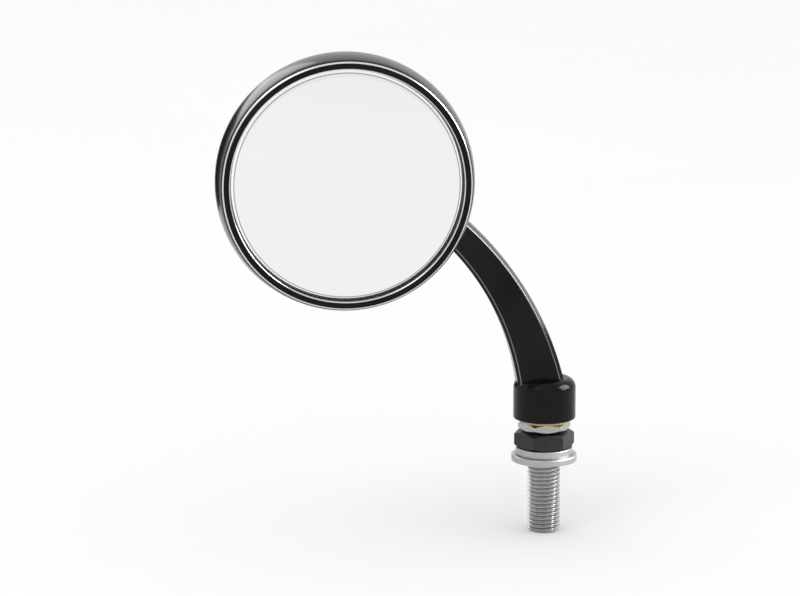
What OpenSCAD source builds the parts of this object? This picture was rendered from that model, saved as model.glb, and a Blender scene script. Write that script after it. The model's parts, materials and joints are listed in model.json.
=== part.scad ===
// Round mirror on an arched, flat-faced arm, with a stud that screws into a lever perch.
//
// Frame: the origin is where the stud's axis meets the face of the perch. +Z runs up the stud,
// the glass looks along -Y and the head stands off to -X. Millimetres throughout.
// Head pieces are drawn in the head's own frame: Z is the depth behind the front of the lip,
// and on_head() carries them to their place in front of the arm.

/* [Head] */
// Widest diameter of the shell
head_d = 76; // [72:0.5:90]
// How much smaller the front edge of the shell's side is, on the radius
side_flare = 1.6; // [0.8:0.1:2.4]
// Depth behind the lip at which the shell is widest
rim_depth = 9.8; // [9:0.1:12]
// Radius of the shoulder between the rim and the domed back
shoulder_r = 8; // [6:0.5:10]
// Radius of the domed back
dome_r = 80; // [70:1:90]
// Wall of the domed back
shell_wall = 2.2; // [1.6:0.1:3]
// Thickness of the ribs inside the shell
rib_t = 1.6; // [1.2:0.1:2.4]

/* [Lip and glass] */
// Width of the lip that shows around the glass
lip_w = 2.3; // [1.8:0.1:4]
// Thickness of the lip where it covers the front edge of the shell
lip_t = 1.3; // [1:0.1:1.6]
// Rounding of the outer edge of the lip
lip_round = 0.6; // [0.3:0.1:0.9]
// Depth from the front of the lip to the seat of the glass
glass_recess = 1.9; // [1.7:0.1:2.8]
// Wall of the ring's skirt inside the shell
skirt_t = 0.6; // [0.4:0.1:1]
// Length of the ring's skirt behind the lip
skirt_len = 4.5; // [3:0.1:4.8]
// Thickness of the glass
glass_t = 2; // [1.6:0.1:2.6]
// Radius of curvature of the convex glass
glass_curve_r = 1000; // [600:50:2000]
// How far the lip covers the rim of the glass
glass_cover = 0.75; // [0.4:0.05:1.2]
// Width of the ground edge of the glass that shows inside the lip
ground_w = 1.2; // [0.6:0.1:2]
// Depth of the ground edge at the rim of the glass
ground_depth = 0.3; // [0.1:0.05:0.5]
// Thickness of the adhesive pad behind the rim of the glass
pad_t = 1; // [0.6:0.1:1.4]
// Width of the foam ring around the adhesive pad
seal_w = 2.2; // [1.5:0.1:3.5]
// Thickness of the backing plate
backing_t = 2; // [1.6:0.1:2.4]
// Width of the ledge that the backing plate sits on
ledge_w = 1.2; // [0.8:0.1:2]

/* [Ball joint] */
// Diameter of the ball
ball_d = 15; // [14:0.1:15.5]
// Diameter of the neck behind the ball
neck_d = 7.5; // [7:0.1:8]
// Distance from the middle of the arm's thickness forward to the centre of the ball
ball_ahead = 18.5; // [18:0.1:24]
// Thickness of the nylon liners
liner_t = 1.8; // [1.4:0.1:2]
// Angle at the ball's centre between the two liners
liner_split = 18; // [17:0.5:24]
// Angle that each liner spans over the ball
liner_span = 28; // [20:1:32]
// Swing of the head each way, panning or tilting
swing = 15; // [8:1:15]
// How far the hub stands behind the dome
hub_rise = 0.4; // [0.2:0.1:1.5]
// Wall around the socket
socket_wall = 2.2; // [1.8:0.1:3]
// Gap between the two halves of the socket, taken up as the screws are drawn in
clamp_gap = 1.2; // [0.8:0.1:1.6]
// Thickness of the clamp plate's flange
clamp_t = 2.4; // [2:0.1:3]
// How far behind the ball's widest line the two halves of the socket meet
split_back = 0.2; // [0.1:0.1:0.4]
// Depth of the socket's mouth in the back of the hub
hub_lip = 1.6; // [1.4:0.1:1.8]
// Turn of the socket's mouth past the neck at full swing
mouth_turn = 4; // [3:0.5:5]
// Turn by which the clamp plate's cup reaches past the front liner
cup_past = 3; // [2:0.5:4]
// Wall at the front of that cup
cup_wall = 1.6; // [1.4:0.1:1.8]
// How far that cup runs on in front of the socket
cup_brim = 0.6; // [0.4:0.1:0.8]

/* [Head fasteners] */
// Thread diameter of the clamp screws
clamp_screw_d = 3; // [2.5:0.5:3]
// Length of a clamp screw under its head
clamp_screw_len = 8; // [7.5:0.5:8]
// Head diameter of the clamp screws
clamp_head_d = 5.5; // [5:0.1:5.8]
// Head height of the clamp screws
clamp_head_h = 2.2; // [1.8:0.1:2.4]
// Width of the key socket in the clamp screws
clamp_key = 2; // [1.5:0.5:2]
// Depth of that key socket
clamp_key_depth = 1.3; // [1:0.1:1.5]
// Outer diameter of the cone spring washers
clamp_spring_d = 6.8; // [6.4:0.1:7]
// Height of a cone spring washer
clamp_spring_h = 1; // [0.8:0.1:1.1]
// Thickness of a cone spring washer
clamp_spring_t = 0.5; // [0.4:0.1:0.6]
// Distance from the side of the hub out to the clamp screws
clamp_post_out = 4; // [3.8:0.1:4.4]
// Land of the clamp plate around a cone spring washer
clamp_land = 0.3; // [0.2:0.1:0.5]
// Thread diameter of the backing screws
backing_screw_d = 2.5; // [2:0.1:2.6]
// Length of a backing screw with its head
backing_screw_len = 8; // [7:0.5:9]
// Head diameter of the backing screws
backing_head_d = 4.8; // [4.4:0.1:5]
// Head height of the backing screws
backing_head_h = 1.3; // [1.1:0.1:1.4]
// Width of the cross slot in the backing screws
backing_cross_w = 0.6; // [0.5:0.1:0.8]
// Wall of the posts around the backing screws
backing_post_wall = 1.5; // [1.2:0.1:1.8]
// Distance from the clamp screws out to the backing screws
backing_post_out = 9.5; // [9:0.5:10.5]
// How much deeper the ribs stand at the shell's wall than at the posts
rib_drop = 4; // [3:0.5:5]

/* [Arm] */
// Distance from the stud's axis outboard to the head's axis
eye_out = 63; // [50:1:80]
// Height of the head's axis above the perch
eye_up = 92; // [80:1:115]
// Height at which the arm's middle line is upright
upright_z = 8; // [0:1:12]
// Thickness of the arm's blade
blade_t = 9; // [8:0.1:10]
// Width of the blade at its foot
blade_w_foot = 16; // [13:0.1:17.5]
// Width of the blade half way up its arc
blade_w_mid = 10.3; // [9:0.1:12.5]
// Width of the blade at the eye
blade_w_eye = 8.4; // [7:0.1:11]
// Bevel along the edges of the blade
blade_bevel = 1.1; // [0.5:0.1:1.6]
// Diameter of the eye
eye_d = 17; // [16:0.1:20]
// How far the eye stands out from each face of the blade
eye_proud = 1; // [0.4:0.1:2]
// Diameter of the foot
foot_d = 19; // [18:0.1:23]
// Rounding of the foot's top edge
foot_round = 3; // [1:0.1:4]

/* [Ball stud fixing] */
// Thread diameter of the screw through the eye
ball_screw_d = 5; // [4:0.1:5]
// Head diameter of that screw
ball_screw_head_d = 8.5; // [7.5:0.1:9]
// Head height of that screw
ball_screw_head_h = 5; // [4:0.1:5]
// Length of that screw under its head
ball_screw_len = 16; // [13:1:16]
// Thickness of the spring washer under its head
ball_washer_t = 1.2; // [0.8:0.1:1.3]
// Diameter of the collar behind the neck
neck_collar_d = 13; // [11:0.1:14]
// Thickness of that collar
neck_collar_t = 1.2; // [1:0.1:1.6]
// Diameter of the spigot that centres the ball stud in the eye
neck_spigot_d = 8; // [7.5:0.1:9]
// Length of that spigot
neck_spigot_len = 2; // [1:0.1:2]

/* [Mounting stud] */
// Thread diameter of the stud
stud_d = 10; // [8:0.1:12]
// Pitch of the stud's thread
stud_pitch = 1.25; // [1:0.05:1.5]
// Length of free thread below the perch face
thread_len = 22; // [16:1:40]
// Thickness of the plain washer
seat_washer_t = 2; // [1.2:0.1:2.5]
// Outer diameter of the plain washer
seat_washer_d = 20; // [18:0.5:24]
// Thickness of the spring washer
lock_washer_t = 2.2; // [1.4:0.1:2.6]
// Radial width of the spring washer's section
lock_washer_w = 3.6; // [2.5:0.1:4]
// Thickness of the jam nut
jam_nut_t = 5; // [4:0.1:7]
// Width of the jam nut across its flats
jam_nut_af = 16; // [15:0.5:19]
// Free thread between the jam nut and the stud's collar
nut_travel = 0.5; // [0.3:0.1:3]
// Thickness of the stud's hexagon collar
collar_t = 2.5; // [2:0.1:5]
// Width of the stud's hexagon collar across its flats
collar_af = 14; // [13:0.5:17]

/* [Swivel] */
// Diameter of the stud's spigot inside the arm's foot
spigot_d = 8; // [7:0.1:9]
// Wall of the bush
bush_wall = 1.2; // [0.8:0.1:1.5]
// Thickness of the bush's flange
bush_flange_t = 1; // [0.8:0.1:1.6]
// Diameter of the bush's flange
bush_flange_d = 15; // [13.5:0.1:17]
// Length of the bush inside the foot
bush_len = 5; // [4:0.1:8]
// Diameter of the grub screw
grub_d = 4; // [3:0.1:4]
// Depth of the groove that the grub screw runs in
groove_depth = 0.8; // [0.5:0.1:1.2]
// How much wider that groove is than the grub screw
groove_slack = 0.4; // [0.2:0.1:0.6]
// Land on the spigot on each side of the groove
spigot_land = 0.5; // [0.4:0.1:1]
// Solid height of the foot above the spigot
foot_cap = 1.8; // [1.2:0.1:4]

/* [Fits] */
// Radial clearance of a piece that turns on another
running_fit = 0.03; // [0.02:0.01:0.06]
// Clearance of pieces that are pressed or screwed together
close_fit = 0.03; // [0.01:0.01:0.06]
// Clearance between stacked and nested pieces
seat_gap = 0.1; // [0.05:0.01:0.2]
// Clearance of a screw or a ring in a plain hole
hole_gap = 0.25; // [0.15:0.05:0.4]
// Clearance of the neck in the socket's opening at full swing
swing_gap = 0.5; // [0.3:0.1:0.8]

/* [Hidden] */
$fn = 96;
curve_fn = 1440; // the glass is a small part of a large sphere
cut = 1; // how far a cutting shape runs past the face that it opens
edge = 0.4; // small edge break on turned and moulded pieces

// Section of the head, with Z as the depth behind the lip
head_r = head_d / 2;
side_r = (rim_depth * rim_depth + side_flare * side_flare) / (2 * side_flare);
side_c = [head_r - side_r, rim_depth];
front_r = head_r - side_flare;
shoulder_c = [head_r - shoulder_r, rim_depth];
dome_c = rim_depth - sqrt(pow(dome_r - shoulder_r, 2) - pow(shoulder_c[0], 2));
dome_turn = atan2(shoulder_c[0], rim_depth - dome_c);
dome_apex = dome_c + dome_r;

// Lip ring, glass and what lies behind it
view_r = front_r - lip_w;
glass_r = view_r + glass_cover;
skirt_in_r = glass_r + seat_gap;
skirt_out_r = skirt_in_r + skirt_t;
bore_r = skirt_out_r + close_fit;
glass_z = glass_recess + seat_gap;
glass_sag = glass_curve_r - sqrt(pow(glass_curve_r, 2) - pow(glass_r, 2));
glass_c = glass_z - glass_sag + glass_curve_r;
pad_z = glass_z + glass_t;
backing_z = pad_z + pad_t;
ledge_z = backing_z + backing_t;
ledge_r = glass_r - ledge_w;

// Ball joint, on the head's axis
ball_r = ball_d / 2;
neck_r = neck_d / 2;
liner_in_r = ball_r + running_fit;
liner_out_r = liner_in_r + liner_t;
socket_r = liner_out_r + running_fit;
full_swing = acos(pow(cos(swing), 2));
liner_turn = 90 - liner_split / 2 - liner_span;
socket_turn = asin(neck_r / socket_r) + full_swing + mouth_turn;
hub_r = socket_r + socket_wall;
hub_z = dome_apex + hub_rise;
ball_z = hub_z - hub_lip - socket_r * cos(socket_turn);
opening_r = (hub_z - ball_z) * tan(full_swing) + neck_r / cos(full_swing) + swing_gap;
opening_in_r = socket_r * sin(socket_turn);

// The two halves of the socket meet about the ball's widest line
boss_z = ball_z + clamp_gap / 2 + split_back;
clamp_back_z = boss_z - clamp_gap;
clamp_front_z = clamp_back_z - clamp_t;
cup_turn = liner_turn - cup_past;
cup_in_r = socket_r * sin(cup_turn);
cup_front_z = ball_z - socket_r * cos(cup_turn) - cup_brim;
cup_front_r = cup_in_r + cup_wall;

// Fasteners inside the head
clamp_head_r = clamp_head_d / 2;
clamp_spring_r = clamp_spring_d / 2;
clamp_post_r = hub_r + clamp_post_out;
clamp_lobe_r = clamp_spring_r + clamp_land;
clamp_head_z = clamp_front_z - clamp_spring_h;
clamp_tip_z = clamp_head_z + clamp_screw_len;
backing_head_r = backing_head_d / 2;
backing_post_r = clamp_post_r + backing_post_out;
clamp_angles = [90, 210, 330];
backing_angles = [30, 150, 270];

// Arm: the middle line is an arc that is upright at upright_z and passes through the eye
rise = eye_up - upright_z;
arc_r = (eye_out * eye_out + rise * rise) / (2 * eye_out);
arc_c = [-arc_r, upright_z];
arc_end = atan2(rise, arc_r - eye_out);
arc_mid = arc_end / 2;
// The blade's half width is base_w + shift . n along the arc, n being the direction from arc_c.
// It takes its three values at the foot, half way and the eye, so both edges are true arcs.
drop_mid = (blade_w_foot - blade_w_mid) / 2;
drop_end = (blade_w_foot - blade_w_eye) / 2;
sweep = (1 - cos(arc_mid)) * sin(arc_end) - sin(arc_mid) * (1 - cos(arc_end));
shift_x = (drop_mid * sin(arc_end) - sin(arc_mid) * drop_end) / sweep;
shift_z = ((1 - cos(arc_end)) * drop_mid - (1 - cos(arc_mid)) * drop_end) / sweep;
shift = [shift_x, shift_z];
base_w = blade_w_foot / 2 - shift_x;
eye_t = blade_t + 2 * eye_proud;
eye_r = eye_d / 2;

// Screw through the eye: the spring washer and the head lie in a counterbore at the back
ball_washer_r = ball_screw_head_d / 2 + seat_gap;
counterbore_r = ball_washer_r + hole_gap;
counterbore_depth = ball_screw_head_h + ball_washer_t + seat_gap;
counterbore_y = eye_t / 2 - counterbore_depth;
ball_head_y = counterbore_y + ball_washer_t;
ball_tip_y = ball_head_y - ball_screw_len;

// Stack on the stud, from the perch upward
lock_washer_z = seat_washer_t;
jam_nut_z = lock_washer_z + lock_washer_t;
collar_z = jam_nut_z + jam_nut_t + nut_travel;
flange_z = collar_z + collar_t + running_fit;
foot_z = flange_z + bush_flange_t;
stud_r = stud_d / 2;
// Engaged threads are drawn on their pitch line: the stud inside the nut, and the nut's bore
pitch_line = 0.3248; // depth of that line below the crest, for a pitch of 1
pitch_r = stud_r - pitch_line * stud_pitch;
spigot_r = spigot_d / 2;
bush_in_r = spigot_r + running_fit;
bush_out_r = bush_in_r + bush_wall;
grub_r = grub_d / 2;
groove_w = grub_d + groove_slack;
groove_r = spigot_r - groove_depth;
groove_z = foot_z + bush_len + spigot_land + groove_w / 2;
spigot_z = groove_z + groove_w / 2 + spigot_land;
foot_bore_z = spigot_z + seat_gap + hole_gap;
foot_top_z = foot_bore_z + foot_cap;
foot_r = foot_d / 2;
blade_z = foot_z + (foot_top_z - foot_z) / 4;
arc_start = asin((blade_z - upright_z) / arc_r);
grub_tip_y = groove_r + hole_gap;
grub_end_y = foot_r - hole_gap;

// Carries a piece from the head's own frame to its place: depth runs along +Y
module on_head() {
    translate([-eye_out, -ball_ahead - ball_z, eye_up])
        rotate([-90, 0, 0])
            children();
}

// Carries a piece drawn along +Z to the eye's axis, with +Z pointing to the back
module on_eye() {
    translate([-eye_out, 0, eye_up])
        rotate([-90, 0, 0])
            children();
}

// Turns copies of a piece about the head's axis, at a radius
module around(angles, radius) {
    for (a = angles)
        rotate([0, 0, a])
            translate([radius, 0, 0])
                children();
}

// Plain ring
module ring(outer_r, inner_r, height) {
    difference() {
        cylinder(r = outer_r, h = height);
        translate([0, 0, -cut])
            cylinder(r = inner_r, h = height + 2 * cut);
    }
}

// Hexagon with both ends turned to 30 degree chamfers
module hexagon(flats, height) {
    corner = flats / 2 / cos(30);
    fall = (corner - flats / 2) * tan(30);
    intersection() {
        cylinder(r = corner, h = height, $fn = 6);
        rotate_extrude()
            polygon([
                [0, 0], [flats / 2, 0], [corner, fall],
                [corner, height - fall], [flats / 2, height], [0, height]
            ]);
    }
}

// Hexagon hole for a key, cut down from z = 0
module key_socket(flats, depth) {
    translate([0, 0, -depth])
        cylinder(r = flats / 2 / cos(30), h = depth + cut, $fn = 6);
}

// Zone of a ball liner: it covers the ball from one angle to another, measured from the back
module liner_zone(from, to) {
    reach = 2 * liner_out_r;
    middle = (from + to) / 2;
    rotate_extrude()
        intersection() {
            difference() {
                circle(r = liner_out_r);
                circle(r = liner_in_r);
            }
            polygon([
                [0, 0],
                [reach * sin(from), reach * cos(from)],
                [reach * sin(middle), reach * cos(middle)],
                [reach * sin(to), reach * cos(to)]
            ]);
        }
}

// Half section of the shell's solid form, drawn in by a wall: side arc, shoulder arc and dome arc
module head_section(wall, front) {
    reach = 1.2 * dome_r;
    intersection() {
        translate([0, front])
            square([head_r, dome_apex]);
        union() {
            intersection() {
                translate(side_c)
                    circle(r = side_r - wall);
                translate([0, front])
                    square([head_r, rim_depth - front]);
            }
            translate(shoulder_c)
                circle(r = shoulder_r - wall);
            intersection() {
                translate([0, dome_c])
                    circle(r = dome_r - wall);
                polygon([
                    [0, dome_c],
                    [reach * sin(dome_turn), dome_c + reach * cos(dome_turn)],
                    [0, dome_c + reach]
                ]);
            }
            square([shoulder_c[0], rim_depth]);
        }
    }
}

// Hub that stands out of the dome around the ball, with its edge broken
module hub() {
    rotate_extrude()
        polygon([
            [0, boss_z], [hub_r, boss_z], [hub_r, hub_z - 2 * edge],
            [hub_r - 2 * edge, hub_z], [0, hub_z]
        ]);
}

// Posts and ribs cast inside the shell: a rib runs from the hub through each post to the wall
module shell_posts_and_ribs() {
    around(clamp_angles, clamp_post_r)
        translate([0, 0, boss_z])
            cylinder(r = clamp_lobe_r, h = hub_z - boss_z);
    around(backing_angles, backing_post_r)
        translate([0, 0, ledge_z])
            cylinder(r = backing_screw_d / 2 + backing_post_wall, h = hub_z - ledge_z);
    for (a = concat(clamp_angles, backing_angles))
        rotate([90, 0, a])
            translate([0, 0, -rib_t / 2])
                linear_extrude(rib_t)
                    polygon([
                        [socket_r + edge, boss_z],
                        [backing_post_r - backing_screw_d, boss_z],
                        [head_r, boss_z - rib_drop],
                        [head_r, hub_z],
                        [socket_r + edge, hub_z]
                    ]);
}

// Hollow of the shell behind the ledge, less what is cast inside it
module shell_hollow() {
    difference() {
        rotate_extrude()
            intersection() {
                head_section(shell_wall, ledge_z - edge);
                square([ledge_r, dome_apex]);
            }
        hub();
        shell_posts_and_ribs();
    }
}

module head_shell() {
    opening_slope = (opening_r - opening_in_r) / (hub_z - ball_z - socket_r * cos(socket_turn));
    opening_top = hub_z + cut;
    opening_bottom = ball_z + ball_r / 2;
    color([0.04, 0.04, 0.045])
    on_head()
        difference() {
            union() {
                rotate_extrude()
                    head_section(0, lip_t);
                hub();
            }
            shell_hollow();
            translate([0, 0, lip_t - cut])
                cylinder(r = bore_r, h = ledge_z - lip_t + cut);
            translate([0, 0, ball_z])
                sphere(r = socket_r);
            translate([0, 0, opening_bottom])
                cylinder(
                    r1 = opening_r - opening_slope * (hub_z - opening_bottom),
                    r2 = opening_r + opening_slope * cut,
                    h = opening_top - opening_bottom
                );
            around(clamp_angles, clamp_post_r)
                translate([0, 0, boss_z - cut])
                    cylinder(
                        r = clamp_screw_d / 2 + close_fit,
                        h = clamp_tip_z + seat_gap - boss_z + cut
                    );
            around(backing_angles, backing_post_r)
                translate([0, 0, ledge_z - cut])
                    cylinder(
                        r = backing_screw_d / 2 + close_fit,
                        h = backing_screw_len - backing_t + seat_gap + cut
                    );
        }
}

module bezel_ring() {
    skirt_z = glass_recess + skirt_len;
    inner_edge = 0.25;
    color([0.03, 0.03, 0.035])
    on_head()
        rotate_extrude() {
            difference() {
                translate([view_r, 0])
                    square([front_r - view_r, lip_t]);
                translate([front_r - lip_round, -cut])
                    square([lip_round + cut, lip_round + cut]);
                polygon([
                    [view_r - cut, inner_edge + cut], [view_r - cut, -cut],
                    [view_r + inner_edge + cut, -cut]
                ]);
            }
            intersection() {
                translate([front_r - lip_round, lip_round])
                    circle(r = lip_round);
                translate([view_r, 0])
                    square([front_r - view_r, lip_t]);
            }
            translate([view_r, lip_t - edge])
                square([skirt_out_r - view_r, glass_recess - lip_t + edge]);
            translate([skirt_in_r, lip_t])
                square([skirt_t, skirt_z - lip_t]);
        }
}

module mirror_glass() {
    ground_r = view_r - ground_w;
    color([0.93, 0.93, 0.94])
    on_head()
        rotate_extrude()
            difference() {
                intersection() {
                    translate([0, glass_c])
                        circle(r = glass_curve_r, $fn = curve_fn);
                    polygon([
                        [0, glass_z - glass_sag - ground_depth],
                        [ground_r, glass_z - glass_sag * pow(ground_r / glass_r, 2)],
                        [glass_r, glass_z + ground_depth],
                        [glass_r, pad_z + edge],
                        [0, pad_z + edge]
                    ]);
                }
                translate([0, glass_c])
                    circle(r = glass_curve_r - glass_t, $fn = curve_fn);
            }
}

// Depth of the back of the glass at a radius, with room for a close fit
function behind_glass_z(r) =
    glass_c - sqrt(pow(glass_curve_r - glass_t - close_fit, 2) - r * r);

// Fills the space between the curved back of the glass and the flat backing plate
module behind_glass(outer_r, inner_r) {
    steps = 8;
    step = (outer_r - inner_r) / steps;
    rotate_extrude()
        polygon(concat(
            [for (i = [0:steps]) [inner_r + i * step, behind_glass_z(inner_r + i * step)]],
            [[outer_r, backing_z], [inner_r, backing_z]]
        ));
}

module glass_pad() {
    color([0.16, 0.16, 0.17])
    on_head()
        behind_glass(glass_r - seal_w - seat_gap, 0);
}

module edge_seal() {
    color([0.09, 0.09, 0.1])
    on_head()
        behind_glass(glass_r, glass_r - seal_w);
}

module backing_plate() {
    color([0.12, 0.12, 0.13])
    on_head()
        difference() {
            translate([0, 0, backing_z])
                cylinder(r = glass_r, h = backing_t);
            around(backing_angles, backing_post_r)
                translate([0, 0, backing_z]) {
                    translate([0, 0, -cut])
                        cylinder(r = backing_screw_d / 2 + hole_gap, h = backing_t + 2 * cut);
                    translate([0, 0, -seat_gap])
                        cylinder(
                            r1 = backing_head_r + seat_gap,
                            r2 = backing_screw_d / 2 + seat_gap,
                            h = backing_head_h + seat_gap
                        );
                }
        }
}

module backing_screws() {
    cross_len = backing_head_d * 0.7;
    color([0.7, 0.7, 0.72])
    on_head()
        around(backing_angles, backing_post_r)
            translate([0, 0, backing_z])
                difference() {
                    union() {
                        cylinder(
                            r1 = backing_head_r, r2 = backing_screw_d / 2, h = backing_head_h
                        );
                        cylinder(r = backing_screw_d / 2, h = backing_screw_len);
                    }
                    for (a = [0, 90])
                        rotate([0, 0, a])
                            translate([-cross_len / 2, -backing_cross_w / 2, -cut])
                                cube([cross_len, backing_cross_w, backing_cross_w + cut]);
                }
}

// Front half of the socket: a cup over the ball, on a flange with a lobe for each screw
module clamp_plate() {
    color([0.3, 0.31, 0.32])
    on_head() {
        rotate_extrude()
            difference() {
                polygon([
                    [0, cup_front_z], [cup_front_r, cup_front_z], [hub_r, clamp_front_z - edge],
                    [hub_r, clamp_back_z], [0, clamp_back_z]
                ]);
                translate([0, ball_z])
                    circle(r = socket_r);
                translate([-cut, cup_front_z - cut])
                    square([cup_in_r + cut, ball_z - cup_front_z]);
            }
        for (a = clamp_angles)
            rotate([0, 0, a])
                translate([0, 0, clamp_front_z])
                    linear_extrude(clamp_t)
                        difference() {
                            union() {
                                translate([socket_r + edge, -clamp_lobe_r])
                                    square([clamp_post_r - socket_r - edge, 2 * clamp_lobe_r]);
                                translate([clamp_post_r, 0])
                                    circle(r = clamp_lobe_r);
                            }
                            translate([clamp_post_r, 0])
                                circle(r = clamp_screw_d / 2 + hole_gap);
                        }
    }
}

module clamp_screws() {
    color([0.62, 0.63, 0.65])
    on_head()
        around(clamp_angles, clamp_post_r)
            translate([0, 0, clamp_head_z])
                difference() {
                    union() {
                        rotate_extrude()
                            polygon([
                                [0, -clamp_head_h], [clamp_head_r - edge, -clamp_head_h],
                                [clamp_head_r, edge - clamp_head_h], [clamp_head_r, 0], [0, 0]
                            ]);
                        cylinder(r = clamp_screw_d / 2, h = clamp_screw_len);
                    }
                    translate([0, 0, -clamp_head_h])
                        rotate([180, 0, 0])
                            key_socket(clamp_key, clamp_key_depth);
                }
}

module clamp_springs() {
    inner_r = clamp_screw_d / 2 + seat_gap;
    color([0.55, 0.56, 0.58])
    on_head()
        around(clamp_angles, clamp_post_r)
            translate([0, 0, clamp_head_z])
                rotate_extrude()
                    polygon([
                        [inner_r, 0],
                        [inner_r + clamp_spring_t, 0],
                        [clamp_spring_r, clamp_spring_h - clamp_spring_t],
                        [clamp_spring_r, clamp_spring_h],
                        [clamp_spring_r - clamp_spring_t, clamp_spring_h],
                        [inner_r, clamp_spring_t]
                    ]);
}

module rear_ball_liner() {
    color([0.86, 0.85, 0.8])
    on_head()
        translate([0, 0, ball_z])
            liner_zone(liner_turn, 90 - liner_split / 2);
}

module front_ball_liner() {
    color([0.86, 0.85, 0.8])
    on_head()
        translate([0, 0, ball_z])
            liner_zone(90 + liner_split / 2, 180 - liner_turn);
}

module ball_stud() {
    collar_y = eye_t / 2 + neck_collar_t;
    color([0.72, 0.73, 0.75])
    on_eye()
        difference() {
            union() {
                translate([0, 0, -ball_ahead])
                    sphere(r = ball_r);
                translate([0, 0, -ball_ahead])
                    cylinder(r = neck_r, h = ball_ahead - eye_t / 2);
                translate([0, 0, -collar_y])
                    rotate_extrude()
                        polygon([
                            [0, 0], [neck_collar_d / 2 - edge, 0], [neck_collar_d / 2, edge],
                            [neck_collar_d / 2, neck_collar_t], [0, neck_collar_t]
                        ]);
                translate([0, 0, -eye_t / 2 - edge])
                    cylinder(r = neck_spigot_d / 2, h = neck_spigot_len + edge);
            }
            translate([0, 0, ball_tip_y - seat_gap])
                cylinder(r = ball_screw_d / 2 + close_fit, h = ball_ahead);
        }
}

module ball_screw() {
    head_r = ball_screw_head_d / 2;
    key = ball_screw_d * 0.8;
    color([0.1, 0.1, 0.11])
    on_eye()
        difference() {
            union() {
                translate([0, 0, ball_tip_y])
                    cylinder(r = ball_screw_d / 2, h = ball_screw_len + edge);
                translate([0, 0, ball_head_y])
                    rotate_extrude()
                        polygon([
                            [0, 0], [head_r, 0], [head_r, ball_screw_head_h - edge],
                            [head_r - edge, ball_screw_head_h], [0, ball_screw_head_h]
                        ]);
            }
            translate([0, 0, ball_head_y + ball_screw_head_h])
                key_socket(key, ball_screw_head_h / 2);
        }
}

// Spring washer with the cut through one side that lets it bite
module split_ring(outer_r, inner_r, height) {
    slit = height / 3;
    lean = 35;
    difference() {
        ring(outer_r, inner_r, height);
        translate([(outer_r + inner_r) / 2, 0, height / 2])
            rotate([lean, 0, 0])
                cube([outer_r - inner_r + 2 * cut, slit, 3 * height], center = true);
    }
}

module ball_screw_washer() {
    color([0.5, 0.51, 0.53])
    on_eye()
        translate([0, 0, counterbore_y])
            split_ring(ball_washer_r, ball_screw_d / 2 + seat_gap, ball_washer_t);
}

// Disc with bevelled edges, from which the outer edge of the blade is taken
module bevelled_disc(radius) {
    rotate_extrude()
        polygon([
            [0, -blade_t / 2],
            [radius - blade_bevel, -blade_t / 2],
            [radius, blade_bevel - blade_t / 2],
            [radius, blade_t / 2 - blade_bevel],
            [radius - blade_bevel, blade_t / 2],
            [0, blade_t / 2]
        ]);
}

// Hole with bevelled edges, which cuts the inner edge of the blade
module bevelled_hole(radius) {
    flare = blade_bevel + cut;
    rotate_extrude()
        polygon([
            [0, -blade_t / 2 - cut],
            [radius + flare, -blade_t / 2 - cut],
            [radius, blade_bevel - blade_t / 2],
            [radius, blade_t / 2 - blade_bevel],
            [radius + flare, blade_t / 2 + cut],
            [0, blade_t / 2 + cut]
        ]);
}

// Arched blade: a bevelled disc less a bevelled hole, each moved off the arc's centre by the
// shift, so the width follows the law above, cut to the arc between the foot and the eye
module blade() {
    reach = 2 * arc_r;
    middle = (arc_start + arc_end) / 2;
    rotate([90, 0, 0])
        intersection() {
            difference() {
                translate(arc_c + shift)
                    bevelled_disc(arc_r + base_w);
                translate(arc_c - shift)
                    bevelled_hole(arc_r - base_w);
            }
            translate([arc_c[0], arc_c[1], -blade_t])
                linear_extrude(2 * blade_t)
                    polygon([
                        [0, 0],
                        [reach * cos(arc_start), reach * sin(arc_start)],
                        [reach * cos(middle), reach * sin(middle)],
                        [reach * cos(arc_end), reach * sin(arc_end)]
                    ]);
        }
}

module eye() {
    on_eye()
        translate([0, 0, -eye_t / 2])
            rotate_extrude()
                polygon([
                    [0, 0], [eye_r - 2 * edge, 0], [eye_r, 2 * edge],
                    [eye_r, eye_t - 2 * edge], [eye_r - 2 * edge, eye_t], [0, eye_t]
                ]);
}

// Round foot with a rounded top edge
module foot() {
    translate([0, 0, foot_z])
        rotate_extrude() {
            height = foot_top_z - foot_z;
            polygon([
                [0, 0], [foot_r - edge, 0], [foot_r, edge],
                [foot_r, height - foot_round], [0, height - foot_round]
            ]);
            square([foot_r - foot_round, height]);
            intersection() {
                translate([foot_r - foot_round, height - foot_round])
                    circle(r = foot_round);
                square([foot_r, height]);
            }
        }
}

module mirror_arm() {
    color([0.035, 0.035, 0.04])
    difference() {
        union() {
            blade();
            eye();
            foot();
        }
        on_eye() {
            translate([0, 0, -eye_t / 2 - cut])
                cylinder(
                    r = neck_spigot_d / 2 + close_fit,
                    h = neck_spigot_len + seat_gap + cut
                );
            translate([0, 0, -eye_t])
                cylinder(r = ball_screw_d / 2 + hole_gap, h = 2 * eye_t);
            translate([0, 0, counterbore_y])
                cylinder(r = counterbore_r, h = eye_t);
        }
        translate([0, 0, foot_z - cut])
            cylinder(r = bush_out_r + close_fit, h = bush_len + cut);
        translate([0, 0, foot_z - cut])
            cylinder(r = spigot_r + hole_gap, h = foot_bore_z - foot_z + cut);
        translate([0, 0, groove_z])
            rotate([-90, 0, 0])
                cylinder(r = grub_r + close_fit, h = foot_r + cut);
    }
}

module foot_bush() {
    color([0.72, 0.55, 0.25])
    difference() {
        union() {
            translate([0, 0, flange_z])
                cylinder(r = bush_flange_d / 2, h = bush_flange_t);
            translate([0, 0, flange_z])
                cylinder(r = bush_out_r, h = bush_flange_t + bush_len);
        }
        translate([0, 0, flange_z - cut])
            cylinder(r = bush_in_r, h = bush_flange_t + bush_len + 2 * cut);
    }
}

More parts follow.
